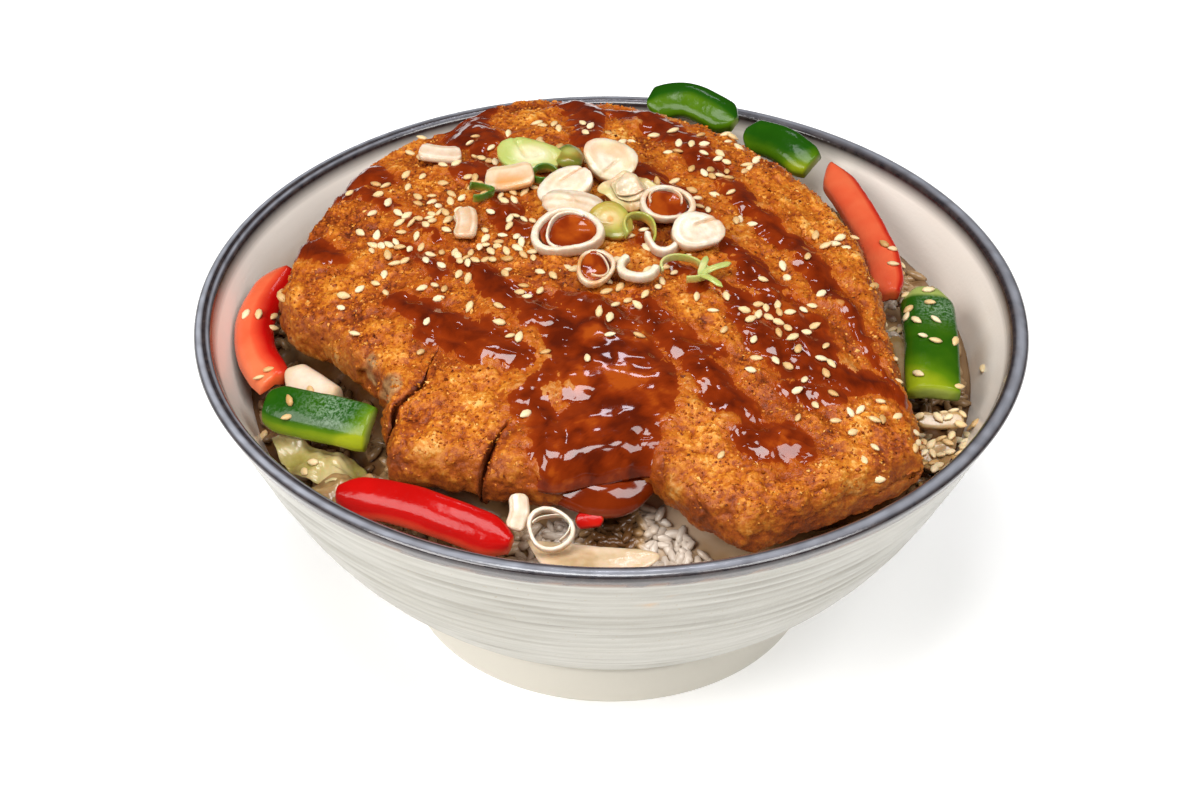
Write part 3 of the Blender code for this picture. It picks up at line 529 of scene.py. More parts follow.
def ceramic_paint():
    paint, tree, shader = new_paint("ceramic", Specular_IOR_Level=0.5,
                                    Coat_Weight=0.35, Coat_Roughness=0.06)
    warm = mix(tree, sharpen(tree, noise_of(tree, 18.0), 0.35, 0.7), (0.44, 0.425, 0.375),
               (0.39, 0.37, 0.315))
    streak = noise_of(tree, 1.3, 3.0, 0.6, (0.05, 0.05, 1.0))
    lined = mix(tree, sharpen(tree, streak, 0.35, 0.65), warm, (0.33, 0.315, 0.265))
    # Painted shade: the turning grooves are darker where the relief dips in.
    groove_shaded = mix(tree, value_of(tree, "groove"), lined, (0.24, 0.225, 0.18))
    specks = sharpen(tree, noise_of(tree, 0.8, 1.0), 0.70, 0.76)
    spotted = mix(tree, specks, groove_shaded, (0.34, 0.29, 0.21))
    foot = mix(tree, value_of(tree, "foot"), spotted, (0.74, 0.70, 0.61))
    inner = mix(tree, value_of(tree, "inner"), foot, (0.82, 0.76, 0.69))
    stained = mix(tree, value_of(tree, "stain"), inner, (0.55, 0.30, 0.10))
    band = ramp(tree, sharpen(tree, noise_of(tree, 2.2, 3.0), 0.35, 0.7),
                ((0.0, (0.014, 0.010, 0.012)), (1.0, (0.045, 0.032, 0.030))))
    edge = mix(tree, value_of(tree, "band_edge"), stained, (0.16, 0.075, 0.035))
    # Painted highlight: the silver lines on the dark rim glaze stand in for its reflection of the lights.
    band_with_painted_highlight = mix(tree, value_of(tree, "painted_highlight"), band, (0.40, 0.42, 0.48))
    colour = mix(tree, value_of(tree, "band"), edge, band_with_painted_highlight)
    paint_with(tree, shader, colour)
    rough = sharpen(tree, value_of(tree, "band"), 0.0, 1.0, 0.36, 0.12)
    tree.links.new(rough, shader.inputs["Roughness"])
    bump(tree, shader, sum_of(tree, streak, noise_of(tree, 0.9, 3.0)), 0.05)
    return paint


def crust_paint():
    paint, tree, shader = new_paint("crust", Specular_IOR_Level=0.20)
    speck = cells_of(tree, 0.8)
    grain = noise_of(tree, 1.4, 5.0, 0.75)
    # Painted shade: low crumbs and the cracks between slices darker, lump tops lighter; the other terms are
    # random tone.
    shade = sum_of(tree, value_of(tree, "crumb_tone_and_shade"), sharpen(tree, grain, 0.3, 0.7, -0.20, 0.20),
                   sharpen(tree, speck, 0.0, 1.0, -0.13, 0.15),
                   sharpen(tree, value_of(tree, "tone"), 0.2, 0.8, -0.26, 0.22))
    colour = ramp(tree, shade, ((0.0, (0.075, 0.012, 0.002)), (0.25, (0.25, 0.045, 0.006)),
                                (0.5, (0.44, 0.108, 0.007)), (0.76, (0.62, 0.225, 0.022)),
                                (1.0, (0.76, 0.44, 0.13))))
    brown = mix(tree, 0.62, colour, (0.22, 0.05, 0.009))
    edged = mix(tree, value_of(tree, "side"), colour, brown)
    soaked = mix(tree, 0.62, edged, (0.34, 0.06, 0.006))
    wetted = mix(tree, value_of(tree, "wet"), edged, soaked)
    meat = mix(tree, sharpen(tree, noise_of(tree, 2.4), 0.35, 0.65), (0.52, 0.29, 0.12),
               (0.15, 0.05, 0.015))
    shown = mix(tree, value_of(tree, "meat"), wetted, meat)
    paint_with(tree, shader, shown)
    rough = sharpen(tree, value_of(tree, "wet"), 0.0, 1.0, 0.42, 0.24)
    tree.links.new(rough, shader.inputs["Roughness"])
    bump(tree, shader, sum_of(tree, noise_of(tree, 0.5, 2.0, 0.6), speck), 0.16)
    return paint


def sauce_paint():
    paint, tree, shader = new_paint("sauce", Roughness=0.08, Specular_IOR_Level=0.5, IOR=1.42,
                                    Coat_Weight=0.3, Coat_Roughness=0.02)
    depth = value_of(tree, "depth")
    cloud = cloud_of(tree, 3.0, 3.0, 0.10)
    thick = sum_of(tree, depth, cloud)
    colour = ramp(tree, thick, ((0.0, (0.33, 0.055, 0.004)), (0.3, (0.21, 0.024, 0.002)),
                                (0.65, (0.15, 0.015, 0.001)), (1.0, (0.085, 0.008, 0.001))))
    paint_with(tree, shader, colour)
    return paint


def seed_paint():
    paint, tree, shader = new_paint("sesame", Roughness=0.38, Specular_IOR_Level=0.4,
                                    Subsurface_Weight=0.15, Subsurface_Scale=0.001)
    shade = value_of(tree, "shade")
    colour = ramp(tree, shade, ((0.0, (0.52, 0.29, 0.09)), (0.35, (0.72, 0.52, 0.26)),
                                (1.0, (0.82, 0.68, 0.44))))
    paint_with(tree, shader, colour)
    return paint


def pepper_paint(name, skin_stops, flesh):
    paint, tree, shader = new_paint(name, Roughness=0.17, Specular_IOR_Level=0.14,
                                    Coat_Weight=0.10, Coat_Roughness=0.04)
    tone = cloud_of(tree, 9.0, 2.0, 0.05)
    skin = ramp(tree, sum_of(tree, value_of(tree, "shade"), tone), skin_stops)
    # Painted highlight: whitish specks on the skin where its blisters catch the light.
    grain = sharpen(tree, noise_of(tree, 0.7, 3.0, 0.7), 0.42, 0.62)
    painted_glint = add_node(tree, "Math", {0: grain, 1: value_of(tree, "painted_glint")}, operation="MULTIPLY")
    glint_painted_skin = mix(tree, painted_glint.outputs[0], skin, (0.34, 0.46, 0.32))
    colour = mix(tree, value_of(tree, "flesh"), glint_painted_skin, flesh)
    paint_with(tree, shader, colour)
    bump(tree, shader, noise_of(tree, 2.0, 2.0), 0.12)
    return paint


def onion_paint(name, stops):
    """Pale vegetable, shaded by the value "shade"."""
    paint, tree, shader = new_paint(name, Roughness=0.25, Specular_IOR_Level=0.5,
                                    Coat_Weight=0.3, Coat_Roughness=0.1,
                                    Subsurface_Weight=0.25, Subsurface_Scale=0.002)
    tone = cloud_of(tree, 2.5, 3.0, 0.10)
    shade = sum_of(tree, value_of(tree, "shade"), tone)
    paint_with(tree, shader, ramp(tree, shade, stops))
    bump(tree, shader, noise_of(tree, 1.2, 2.0), 0.06)
    return paint


def leek_paint():
    paint, tree, shader = new_paint("spring_onion", Roughness=0.28, Specular_IOR_Level=0.45,
                                    Coat_Weight=0.25, Coat_Roughness=0.08,
                                    Subsurface_Weight=0.25, Subsurface_Scale=0.0015)
    tone = cloud_of(tree, 1.6, 3.0, 0.12)
    shade = sum_of(tree, value_of(tree, "shade"), tone)
    white = ramp(tree, shade, ((0.0, (0.76, 0.71, 0.60)), (0.4, (0.64, 0.50, 0.36)),
                               (1.0, (0.42, 0.21, 0.09))))
    green = ramp(tree, value_of(tree, "green"), ((0.0, (0.75, 0.72, 0.50)), (0.3, (0.60, 0.62, 0.26)),
                                                 (0.65, (0.32, 0.40, 0.07)),
                                                 (1.0, (0.05, 0.15, 0.008))))
    how_green = sharpen(tree, value_of(tree, "green"), 0.05, 0.5)
    colour = mix(tree, how_green, white, green)
    colour = mix(tree, value_of(tree, "brown"), colour, (0.60, 0.25, 0.045))
    paint_with(tree, shader, colour)
    bump(tree, shader, noise_of(tree, 0.9, 2.0), 0.06)
    return paint


def rice_paint():
    paint, tree, shader = new_paint("rice", Roughness=0.25, Specular_IOR_Level=0.5)
    colour = ramp(tree, value_of(tree, "soaked"), ((0.0, (0.58, 0.50, 0.42)),
                                                   (0.45, (0.36, 0.22, 0.10)),
                                                   (1.0, (0.11, 0.045, 0.013))))
    paint_with(tree, shader, colour)
    return paint


# Bowl

def bezier(points, share):
    rest = 1.0 - share
    weights = (rest ** 3, 3 * rest ** 2 * share, 3 * rest * share ** 2, share ** 3)
    return tuple(sum(w * p[i] for w, p in zip(weights, points)) for i in range(len(points[0])))


def inner_radius(height):
    samples = [bezier(INNER_WALL, i / 24) for i in range(25)]
    return float(follow([s[::-1] for s in samples], height))


def bowl_profile():
    """Half section from the middle of the underside round to the middle of the floor, in four parts."""
    foot = [(0.0, 5.4), (20.0, 5.4), (38.0, 5.4), (43.0, 5.4), (43.6, 4.8), (44.3, 0.6), (44.9, 0.0),
            (49.4, 0.0), (50.1, 0.3), (50.4, 0.9)]
    foot += [(50.4 - 0.4 * k / 10, 0.9 + 8.6 * k / 10) for k in range(1, 11)]
    foot += [(49.8, 9.9), (49.7, 10.2)]
    outer = [bezier(OUTER_LOW, i / 84) for i in range(85)]
    half = RIM_WALL / 2
    turns = [math.pi * k / 10 for k in range(1, 10)]
    lip = [(RIM_RADIUS - half + half * math.cos(turn), LIP_START + LIP_RISE * math.sin(turn))
           for turn in turns]
    inner = [bezier(INNER_WALL, i / 36) for i in range(36, -1, -1)]
    return foot, outer, lip, inner + [(30.0, 13.7), (20.0, 13.4), (0.0, 13.4)]


def turning_relief(turn, height):
    """Grooves and brushed streaks of the outside, and how strong they are up and down."""
    round_place = ring_points(60, turn, height * 14.0)
    level = height + 1.1 * value_noise(ring_points(40, turn, height), 22.0, 4)
    groove = np.sin(level * 2 * math.pi / 3.1) + 0.6 * np.sin(level * 2 * math.pi / 1.7 + 1.0)
    strength = 0.22 * (0.5 + 0.5 * value_noise(round_place, 40.0, 7)) + 0.07
    fade = smooth_step(height, 11.0, 15.0) * smooth_fall(height, 73.0, 77.0)
    middle = 1.0 - 0.45 * smooth_step(height, 24.0, 34.0) * smooth_fall(height, 44.0, 54.0)
    brushed = 0.10 * value_noise(round_place, 11.0, 9)
    return (groove * strength * middle + brushed) * fade, fade


def rim_band(points, height, past_outer):
    """Share of the dark glaze at the rim, and of the brown line under it."""
    ragged = 0.35 * value_noise(points, 3.0, 12) + 0.25 * value_noise(points, 9.0, 13)
    nick = np.zeros(len(points))
    for x, y in ((-12.2, -98.0), (11.0, -98.5), (-74.0, 66.0)):
        nick = np.maximum(nick, spot_share(points, x, y, 0.8, 2.2))
    band = smooth_step(height + ragged - 1.2 * nick, BAND_START, BAND_START + 0.35)
    in_low = (height < 79.0) & past_outer
    band = np.where(in_low, smooth_step(height + ragged, 78.2, 78.8), band)
    return band, smooth_step(height + ragged, BAND_START - 0.55, BAND_START) * (height < 80)


def painted_rim_highlight(points, radius, turn, height):
    """Painted highlight: silver lines on top of the rim that stand in for the glaze's reflection, sharp at
    the left, wide and faint at the right.
    """
    right = 0.5 + 0.5 * np.cos(turn)
    line = np.exp(-((radius - 98.9 + 0.7 * right) / (0.65 + 0.50 * right)) ** 4) * (0.95 - 0.30 * right)
    thin_painted_highlight = 0.75 * np.exp(-((radius - 96.7) / 0.30) ** 2) * (1.0 - right)
    painted_highlight = np.maximum(line, thin_painted_highlight) * (height > 79.0)
    return painted_highlight * (0.75 + 0.25 * value_noise(points, 1.6, 14))


def bowl_stain(points, height, inside):
    """Two drops of sauce outside and a faint smear inside."""
    stain = np.zeros(len(points))
    for x, y, z, size, share in ((8.0, -92.0, 67.5, 1.0, 1.0), (12.5, -93.5, 71.0, 0.7, 0.8)):
        reach = np.linalg.norm(points - np.array((x, y, z)), axis=1)
        stain = np.maximum(stain, share * smooth_fall(reach, size, size * 2.4))
    smear = smooth_step(0.5 + 0.5 * layered_noise(points, 16.0, 3, 21), 0.5, 0.9)
    return np.where(inside, 0.35 * smooth_fall(height, 68.0, 79.0) * smear, stain)


def make_bowl(paint):
    """Turned bowl with uneven turning grooves outside and a dark glazed rim."""
    foot, outer, lip, inner = bowl_profile()
    profile = np.array(foot + outer + lip + inner)
    row = np.repeat(np.arange(len(profile)), BOWL_SIDES)
    past_outer = row >= len(foot) + len(outer)
    outside = (row >= len(foot)) & ~past_outer
    inside = row >= len(foot) + len(outer) + len(lip)
    radius = np.repeat(profile[:, 0], BOWL_SIDES)
    height = np.repeat(profile[:, 1], BOWL_SIDES)
    turn = np.tile(2 * math.pi * np.arange(BOWL_SIDES) / BOWL_SIDES, len(profile))
    relief, fade = turning_relief(turn, height)
    relief = relief * outside
    on_axis = radius < 0.01
    radius = np.where(on_axis, 0.0, radius + relief - 0.12 * outside * fade)
    points = ring_points(radius, turn, height)
    faces = []
    for ring in range(len(profile) - 1):
        here, above = ring * BOWL_SIDES, (ring + 1) * BOWL_SIDES
        for k in range(BOWL_SIDES):
            after = (k + 1) % BOWL_SIDES
            if ring == 0:
                faces.append((here, above + after, above + k))
            elif ring == len(profile) - 2:
                faces.append((here + k, here + after, above))
            else:
                faces.append((here + k, here + after, above + after, above + k))
    band, edge = rim_band(points, height, past_outer)
    values = {"band": band, "band_edge": np.where(inside, 0.0, edge),
              "foot": smooth_fall(height, 9.4, 11.4), "inner": inside.astype(float),
              "stain": bowl_stain(points, height, inside),
              # Painted highlight on the rim's top
              "painted_highlight": painted_rim_highlight(points, radius, turn, height),
              # Painted shade: darker the deeper a turning groove dips in
              "groove": np.clip(-relief * 3.0, 0.0, 0.8)}
    return dress("bowl", points, faces, paint, values)


# Cutlet

def dome(x, y):
    back = np.where(y > 25.0, 8.0 * ((y - 25.0) / 60.0) ** 2, 17.0 * ((25.0 - y) / 105.0) ** 2)
    return 97.0 - 10.0 * (x / 80.0) ** 2 - back


def plan(across, along):
    x = across * math.sin(CUT_ANGLE) + along * math.cos(CUT_ANGLE)
    y = -across * math.cos(CUT_ANGLE) + along * math.sin(CUT_ANGLE)
    return x, y


def crag_height(x, y):
    """The part's own relief."""
    made = np.empty(len(x))
    for k, (px, py) in enumerate(zip(x, y)):
        place = Vector((px, py, 0.0))
        made[k] = 0.65 * noise.noise(place / 9.0) + 0.35 * noise.noise(place / 4.2 + Vector((7, 3, 1)))
    return 1.8 * made


def sauce_depth(x, y):
    """Distance into the sauce, in millimetres: below zero outside it."""
    flat = flat_points(x, y)
    x = x + 1.3 * value_noise(flat, 6.0, 31) + 0.7 * value_noise(flat, 2.4, 32)
    y = y + 1.3 * value_noise(flat, 6.0, 33) + 0.7 * value_noise(flat, 2.4, 34)
    best = np.full(len(x), -20.0)
    for line in SAUCE:
        for (x0, y0, w0), (x1, y1, w1) in zip(line, line[1:]):
            run_x, run_y = x1 - x0, y1 - y0
            share = ((x - x0) * run_x + (y - y0) * run_y) / (run_x ** 2 + run_y ** 2)
            share = clamp(share)
            reach = np.hypot(x - x0 - share * run_x, y - y0 - share * run_y)
            best = np.maximum(best, w0 + share * (w1 - w0) - reach)
    return best


def crumbs(points):
    """Relief of the crumb coating, in millimetres."""
    bent = points + 0.6 * np.stack([value_noise(points, 1.6, seed) for seed in (45, 46, 47)], axis=1)
    fine = 0.40 * cell_bumps(bent, 1.1, 41) + 0.72 * cell_bumps(bent, 2.1, 42)
    lumps = 1.35 * cell_bumps(bent, 5.2, 43)
    return fine + lumps - 1.15 + 0.45 * layered_noise(points, 7.0, 3, 44)


def column_stations(low, high, first, final, spacing):
    """Places across the cuts, closer together at the cuts and at rounded ends."""
    rounded = [EDGE_RADIUS * (1.0 - math.sin(math.radians(a))) for a in range(90, -1, -5)]
    near_cut = [0.0, 0.12, 0.3, 0.55, 0.85]
    left = [low + q for q in (rounded if first else near_cut)]
    right = [high - q for q in (rounded if final else near_cut)]
    count = int((right[-1] - left[-1]) / spacing)
    middle = np.linspace(left[-1], right[-1], count + 1)[1:-1]
    return np.array(left + list(middle) + right[::-1])


def cutlet_sheet(stations, low, high, arc_step, rows, under=False):
    """Top or underside of a slice as a grid: places, normals, edge closeness, way along the cuts."""
    first, final = low == LEFT_END, high == RIGHT_END
    arc = np.radians(np.arange(90, -1, -arc_step))
    across_rows, along_rows, edge_rows = [], [], []
    for q, a, b in zip(stations, follow(FRONT_EDGE, stations), follow(BACK_EDGE, stations)):
        radius = min(EDGE_RADIUS, 0.46 * (b - a))
        near = radius * (1.0 - np.sin(arc))
        middle = np.linspace(a + radius, b - radius, rows + 2)[1:-1]
        along = np.concatenate([a + near, middle, (b - near)[::-1]])
        crust_share = np.concatenate([np.sin(arc), np.zeros(rows), np.sin(arc)[::-1]])
        outer_share = 0.0
        if first:
            outer_share = max(outer_share, 1.0 - (q - low) / EDGE_RADIUS)
        if final:
            outer_share = max(outer_share, 1.0 - (high - q) / EDGE_RADIUS)
        # Corners are pulled in onto a quarter of a circle
        shrink = np.maximum(np.hypot(crust_share, outer_share), 1.0)
        inward = np.where(np.arange(len(along)) < len(along) / 2, 1.0, -1.0)
        along = along + inward * radius * (crust_share - crust_share / shrink)
        inward = 1.0 if first and q < (low + high) / 2 else -1.0
        across_rows.append(q + inward * EDGE_RADIUS * (outer_share - outer_share / shrink))
        along_rows.append(along)
        edge_rows.append(np.minimum(np.hypot(crust_share, outer_share), 1.0))
    across, along, edge = np.array(across_rows), np.array(along_rows), np.array(edge_rows)
    x, y = plan(across, along)
    drop = EDGE_RADIUS * (1.0 - np.sqrt(1.0 - edge ** 2))
    z = dome(x, y) - THICKNESS + drop if under else dome(x, y) - drop
    place = np.stack([x, y, z], axis=2)
    normal = np.cross(np.gradient(place, axis=0), np.gradient(place, axis=1))
    normal /= np.linalg.norm(normal, axis=2, keepdims=True) + 1e-9
    return place, -normal if under else normal, edge, along


def crack_width(cut, along):
    """Half the gap of a cut, in millimetres: open at the front and shut behind."""
    widths = {CUTS[0]: ((-64, 0.55), (-57, 0.5), (-53, 0.14), (-46, 0.04), (-40, 0.02)),
              CUTS[1]: ((-78, 0.75), (-70, 0.5), (-62, 0.26), (-54, 0.14), (-50, 0.02)),
              CUTS[2]: ((-56, 0.12), (-48, 0.06), (-40, 0.02))}[cut]
    return follow(widths, along)


def crack_path(cut, along):
    """How far a cut strays to the right of its straight line."""
    strays = {CUTS[0]: ((-62, -0.6), (-57, 1.8), (-52, 1.2), (-46, -0.6), (-36, -1.5), (-15, 0)),
              CUTS[1]: ((-78, 0), (-70, -0.8), (-61, -1.9), (-56, -1.2), (-45, 0)),
              CUTS[2]: ((-56, 0), (-48, -1.5), (-40, -1.6), (-28, 0))}[cut]
    flat = flat_points(along.ravel(), np.full(along.size, cut))
    ragged = 0.8 * layered_noise(flat, 4.5, 3, 51).reshape(along.shape)
    return follow(strays, along) + ragged


def open_cuts(place, stations, along, low, high):
    """Move a sheet's columns beside a cut, and round them into the crack. Gives the painted shade there."""
    painted_crack_shade = np.zeros(along.shape)
    for cut, sign in ((low, 1.0), (high, -1.0)):
        if cut not in CUTS:
            continue
        width = crack_width(cut, along)
        gap = np.abs(stations - cut)[:, None] + np.zeros(along.shape)
        step = crack_path(cut, along) * clamp(1.0 - gap / 8.0)
        step += sign * width * clamp(1.0 - gap / 3.0)
        place[..., 0] += step * math.sin(CUT_ANGLE)
        place[..., 1] -= step * math.cos(CUT_ANGLE)
        size = 0.05 + 2.2 * width
        share = clamp(1.0 - gap / size)
        place[..., 2] -= 1.3 * size * (1.0 - np.sqrt(1.0 - share ** 2))
        place[..., 2] -= 1.1 * np.minimum(width, 0.5) * clamp(1.0 - gap / 5.0) ** 2
        painted_crack_shade = np.maximum(painted_crack_shade, share * clamp(width * 2.5))
    return painted_crack_shade


def meat_share(points):
    """Where the coating has come off and the meat shows, on the left flank."""
    spots = ((-66.0, -24.0, 5.0), (-58.0, -31.0, 5.5), (-52.0, -38.0, 4.5))
    share = np.zeros(len(points))
    for x, y, size in spots:
        reach = np.hypot(points[:, 0] - x, points[:, 1] - y) + 2.0 * value_noise(points, 3.5, 57)
        share = np.maximum(share, smooth_fall(reach, size * 0.5, size * 0.8))
    return share


def make_slice(number, low, high, paint):
    """One slice of the cutlet: a fine top, a coarser underside and walls at the cuts."""
    first, final = low == LEFT_END, high == RIGHT_END
    stations = column_stations(low, high, first, final, CRUST_SPACING)
    middle = (low + high) / 2
    length = follow(BACK_EDGE, middle) - follow(FRONT_EDGE, middle)
    rows = int(length / CRUST_SPACING)
    sheets, painted_crack_shades, lump_rows, edges = [], [], [], []
    for arc_step, count, under in ((3, rows, False), (6, 14, True)):
        place, normal, edge, along = cutlet_sheet(stations, low, high, arc_step, count, under)
        flat = place.reshape(-1, 3)
        lumps = crumbs(flat)
        crags = crag_height(flat[:, 0], flat[:, 1])
        if under:
            crags *= edge.ravel() ** 2
        folds = meat_share(flat) * (0.9 + 0.9 * np.sin(0.9 * flat[:, 0] + 0.5 * flat[:, 1]))
        relief = (lumps * (1.0 - 0.5 * meat_share(flat)) + crags - folds).reshape(edge.shape)
        place = place + normal * relief[..., None]
        painted_crack_shades.append(open_cuts(place, stations, along, low, high).ravel())
        sheets.append(place)
        lump_rows.append(lumps)
        edges.append(edge.ravel())
    top, low_sheet = sheets
    count, columns, low_columns = top.shape[0], top.shape[1], low_sheet.shape[1]
    points = np.concatenate([top.reshape(-1, 3), low_sheet.reshape(-1, 3)])
    base = count * columns
    faces = [face[::-1] for face in grid_faces(count, columns)]
    faces += grid_faces(count, low_columns, base)
    for i in range(count - 1):
        a, b = i * columns, base + i * low_columns
        faces.append((a + columns, a, b, b + low_columns))
        a, b = a + columns - 1, b + low_columns - 1
        faces.append((a, a + columns, b + low_columns, b))
    for i, flip in ((0, False), (count - 1, True)):
        cap = zip_chains([i * columns + j for j in range(columns)],
                         [base + i * low_columns + j for j in range(low_columns)])
        faces += [face[::-1] for face in cap] if flip else cap
    lumps, edge, painted_crack_shade = (np.concatenate(rows) for rows in (lump_rows, edges, painted_crack_shades))
    depth = sauce_depth(points[:, 0], points[:, 1])
    on_top = np.arange(len(points)) < base
    tone = 0.5 + 0.5 * layered_noise(points, 11.0, 3, 58)
    # Painted shade: darker down between the crumb lumps and in the cracks between slices.
    values = {"crumb_tone_and_shade": clamp(0.46 + 0.38 * lumps - 0.6 * painted_crack_shade),
              "tone": tone,
              "wet": np.where(on_top, smooth_step(depth, -4.0, 0.5), 0.0),
              "side": smooth_step(edge, 0.30, 1.0) * np.where(on_top, 0.75, 1.0),
              "meat": meat_share(points) * on_top}
    return dress("katsu_%d" % number, points, faces, paint, values)


def make_sauce(paint):
    """Sauce skin that sinks under the crumbs where it ends."""
    stations = column_stations(LEFT_END, RIGHT_END, True, True, SAUCE_SPACING)
    place, normal, edge, _ = cutlet_sheet(stations, LEFT_END, RIGHT_END, 5, int(120 / SAUCE_SPACING))
    shape = edge.shape
    flat = place.reshape(-1, 3)
    normals = normal.reshape(-1, 3)
    lumps = crumbs(flat)
    crags = crag_height(flat[:, 0], flat[:, 1])
    depth = sauce_depth(flat[:, 0], flat[:, 1]) + 0.7
    level = -1.0 + 1.05 * smooth_step(depth, -1.2, 1.2) + 0.60 * smooth_step(depth, 0.6, 4.5)
    deep = smooth_step(depth, 3.5, 8.0)
    ripple = smooth_step(depth, 0.0, 3.0) * (1.0 - 0.6 * deep)
    level += 0.25 * ripple * layered_noise(flat, 9.0, 2, 61) + 0.75 * deep
    level += 0.16 * deep * layered_noise(flat, 3.2, 2, 63)
    carried = 0.74 - 0.50 * smooth_step(depth, 0.4, 4.5) - 0.17 * deep
    height = crags * (1.0 - 0.80 * deep) + carried * lumps + level
    upper = flat + normals * height[:, None]
    under = flat + normals * (height - 1.1)[:, None]
    keep = depth.reshape(shape) > -1.3
    quads = keep[:-1, :-1] & keep[1:, :-1] & keep[1:, 1:] & keep[:-1, 1:]
    number = -np.ones(shape[0] * shape[1], dtype=int)
    faces = []
    edges = {}
    used = []
    for i, j in zip(*np.nonzero(quads)):
        corner = i * shape[1] + j
        quad = (corner, corner + shape[1], corner + shape[1] + 1, corner + 1)
        for k in quad:
            if number[k] < 0:
                number[k] = len(used)
                used.append(k)
        loop = tuple(int(number[k]) for k in quad)
        faces.append(loop)
        for a, b in zip(loop, loop[1:] + loop[:1]):
            if (b, a) in edges:
                del edges[(b, a)]
            else:
                edges[(a, b)] = True
    count = len(used)
    bottom = [tuple(k + count for k in reversed(face)) for face in faces]
    skirt = [(b, a, a + count, b + count) for a, b in edges]
    points = np.concatenate([upper[used], under[used]])
    shown_depth = (height - lumps - crags)[used] * 0.75 + 0.22 - 0.66 * deep[used]
    shown_depth += 0.18 * layered_noise(flat[used], 6.0, 2, 62)
    shown_depth = clamp(shown_depth)
    values = {"depth": np.concatenate([shown_depth, shown_depth])}
    return make_piece("sauce", points, faces + bottom + skirt, paint, values=values)


def make_drip(paint):
    """The thick lip where the sauce runs over the front edge."""
    path = ((-18, -58.5, 78.8), (-13, -62.6, 77.4), (-7, -65.8, 76.2), (-2, -66.8, 75.3),
            (2.5, -65.6, 75.4), (6.5, -61.6, 76.6), (10, -57.4, 78.4))
    points, faces, _, side, share = sweep(path, 8.4, 3.8, (0.0, -0.80, 0.60), 60, 36, (0.5, 0.5),
                                          squareness=2.2, seed=63)
    depth = 0.66 + 0.2 * np.sin(9.0 * share + side)
    return make_piece("sauce_drip", points, faces, paint, values={"depth": depth})


# Scattered things

def surface_of(pieces):
    """One search tree over the pieces' faces, in millimetres."""
    points, faces, count = [], [], 0
    for piece in pieces:
        mesh = piece.data
        flat = np.empty(len(mesh.vertices) * 3)
        mesh.vertices.foreach_get("co", flat)
        points += (flat.reshape(-1, 3) / MM).tolist()
        faces += [tuple(v + count for v in polygon.vertices) for polygon in mesh.polygons]
        count += len(mesh.vertices)
    return BVHTree.FromPolygons(points, faces)


def drop_on(surface, x, y):
    """Where a thing dropped at a plan position lands, and the slope there."""
    place, normal, _, _ = surface.ray_cast(Vector((x, y, 150.0)), Vector((0, 0, -1)))
    if place is None or normal.z < 0.2:
        return None
    return place, normal


def lay(template, size, place, normal, turn, roll=0.0, lean=0.0):
    """Template points scaled, turned in plan and laid on a slope."""
    local = Euler((roll, lean, turn)).to_matrix()
    tilt = Vector((0, 0, 1)).rotation_difference(normal).to_matrix()
    whole = np.array(tilt @ local)
    return template * np.array(size) @ whole.T + np.array(place)


def make_seeds(surface, paint, onions):
    """Sesame seeds: pointed at one end, lying flat or leaning."""
    template, template_faces = ball(8, 6)
    template[:, 1] *= 1.0 - 0.42 * clamp(template[:, 0])
    template[:, 2] *= 1.0 - 0.30 * clamp(template[:, 0])
    rng = random.Random(8)
    parts, shades, placed = [], [], []
    for centre_x, centre_y, spread, count in SEED_CLUSTERS:
        made = 0
        for _ in range(count * 12):
            if made >= count:
                break
            x, y = rng.gauss(centre_x, spread), rng.gauss(centre_y, spread)
            if math.hypot(x, y) > SEED_REACH:
                continue
            if any(math.hypot(x - ox, y - oy) < reach for ox, oy, reach in onions):
                continue
            if any(math.hypot(x - px, y - py) < SEED_GAP for px, py in placed):
                continue
            found = drop_on(surface, x, y)
            if found is None:
                continue
            place, normal = found
            normal = (normal + Vector((0, 0, 1.5))).normalized()
            size = np.array(SEED_HALF) * rng.uniform(0.85, 1.12)
            lifted = place + normal * rng.uniform(0.25, 0.5)
            parts.append((lay(template, size, lifted, normal, rng.uniform(0, 2 * math.pi),
                              rng.gauss(0, 0.25), rng.gauss(0, 0.18)), template_faces))
            shades += [rng.random()] * len(template)
            placed.append((x, y))
            made += 1
    points, faces = join_parts(parts)
    return make_piece("sesame_seeds", points, faces, paint, values={"shade": shades})


def make_flakes(surface, paint):
    """Loose crumbs that stand out of the coating."""
    template = np.array(((1, 0, 0), (-1, 0, 0), (0, 1, 0), (0, -1, 0), (0, 0, 1), (0, 0, -1)), float)
    triangles = ((0, 2, 4), (2, 1, 4), (1, 3, 4), (3, 0, 4), (2, 0, 5), (1, 2, 5), (3, 1, 5), (0, 3, 5))
    rng = random.Random(21)
    parts, crumb_tone_and_shade = [], []
    spots = np.array([plan(rng.uniform(LEFT_END, RIGHT_END), rng.uniform(-76, 76))
                      for _ in range(FLAKES * 2)])
    depth = sauce_depth(spots[:, 0], spots[:, 1])
    for (x, y), deep in zip(spots, depth):
        if len(parts) >= FLAKES:
            break
        if deep > -0.4:
            continue
        found = drop_on(surface, x, y)
        if found is None or found[0].z < 76.0:
            continue
        place, normal = found
        large = 1.7 if rng.random() < 0.12 else 1.0
        size = large * np.array((rng.uniform(0.28, 0.62), rng.uniform(0.22, 0.45),
                                 rng.uniform(0.16, 0.34)))
        parts.append((lay(template, size, place + normal * 0.03, normal, rng.uniform(0, 6.28),
                          rng.gauss(0, 0.6), rng.gauss(0, 0.6)), triangles))
        crumb_tone_and_shade += [min(1.0, max(0.0, rng.gauss(0.52, 0.17)))] * 6
    points, faces = join_parts(parts)
    none = np.zeros(len(crumb_tone_and_shade))
    values = {"crumb_tone_and_shade": crumb_tone_and_shade, "tone": none + 0.5, "wet": none, "side": none, "meat": none}
    return make_piece("crumb_flakes", points, faces, paint, values=values, smooth=False)


# Peppers and other vegetables

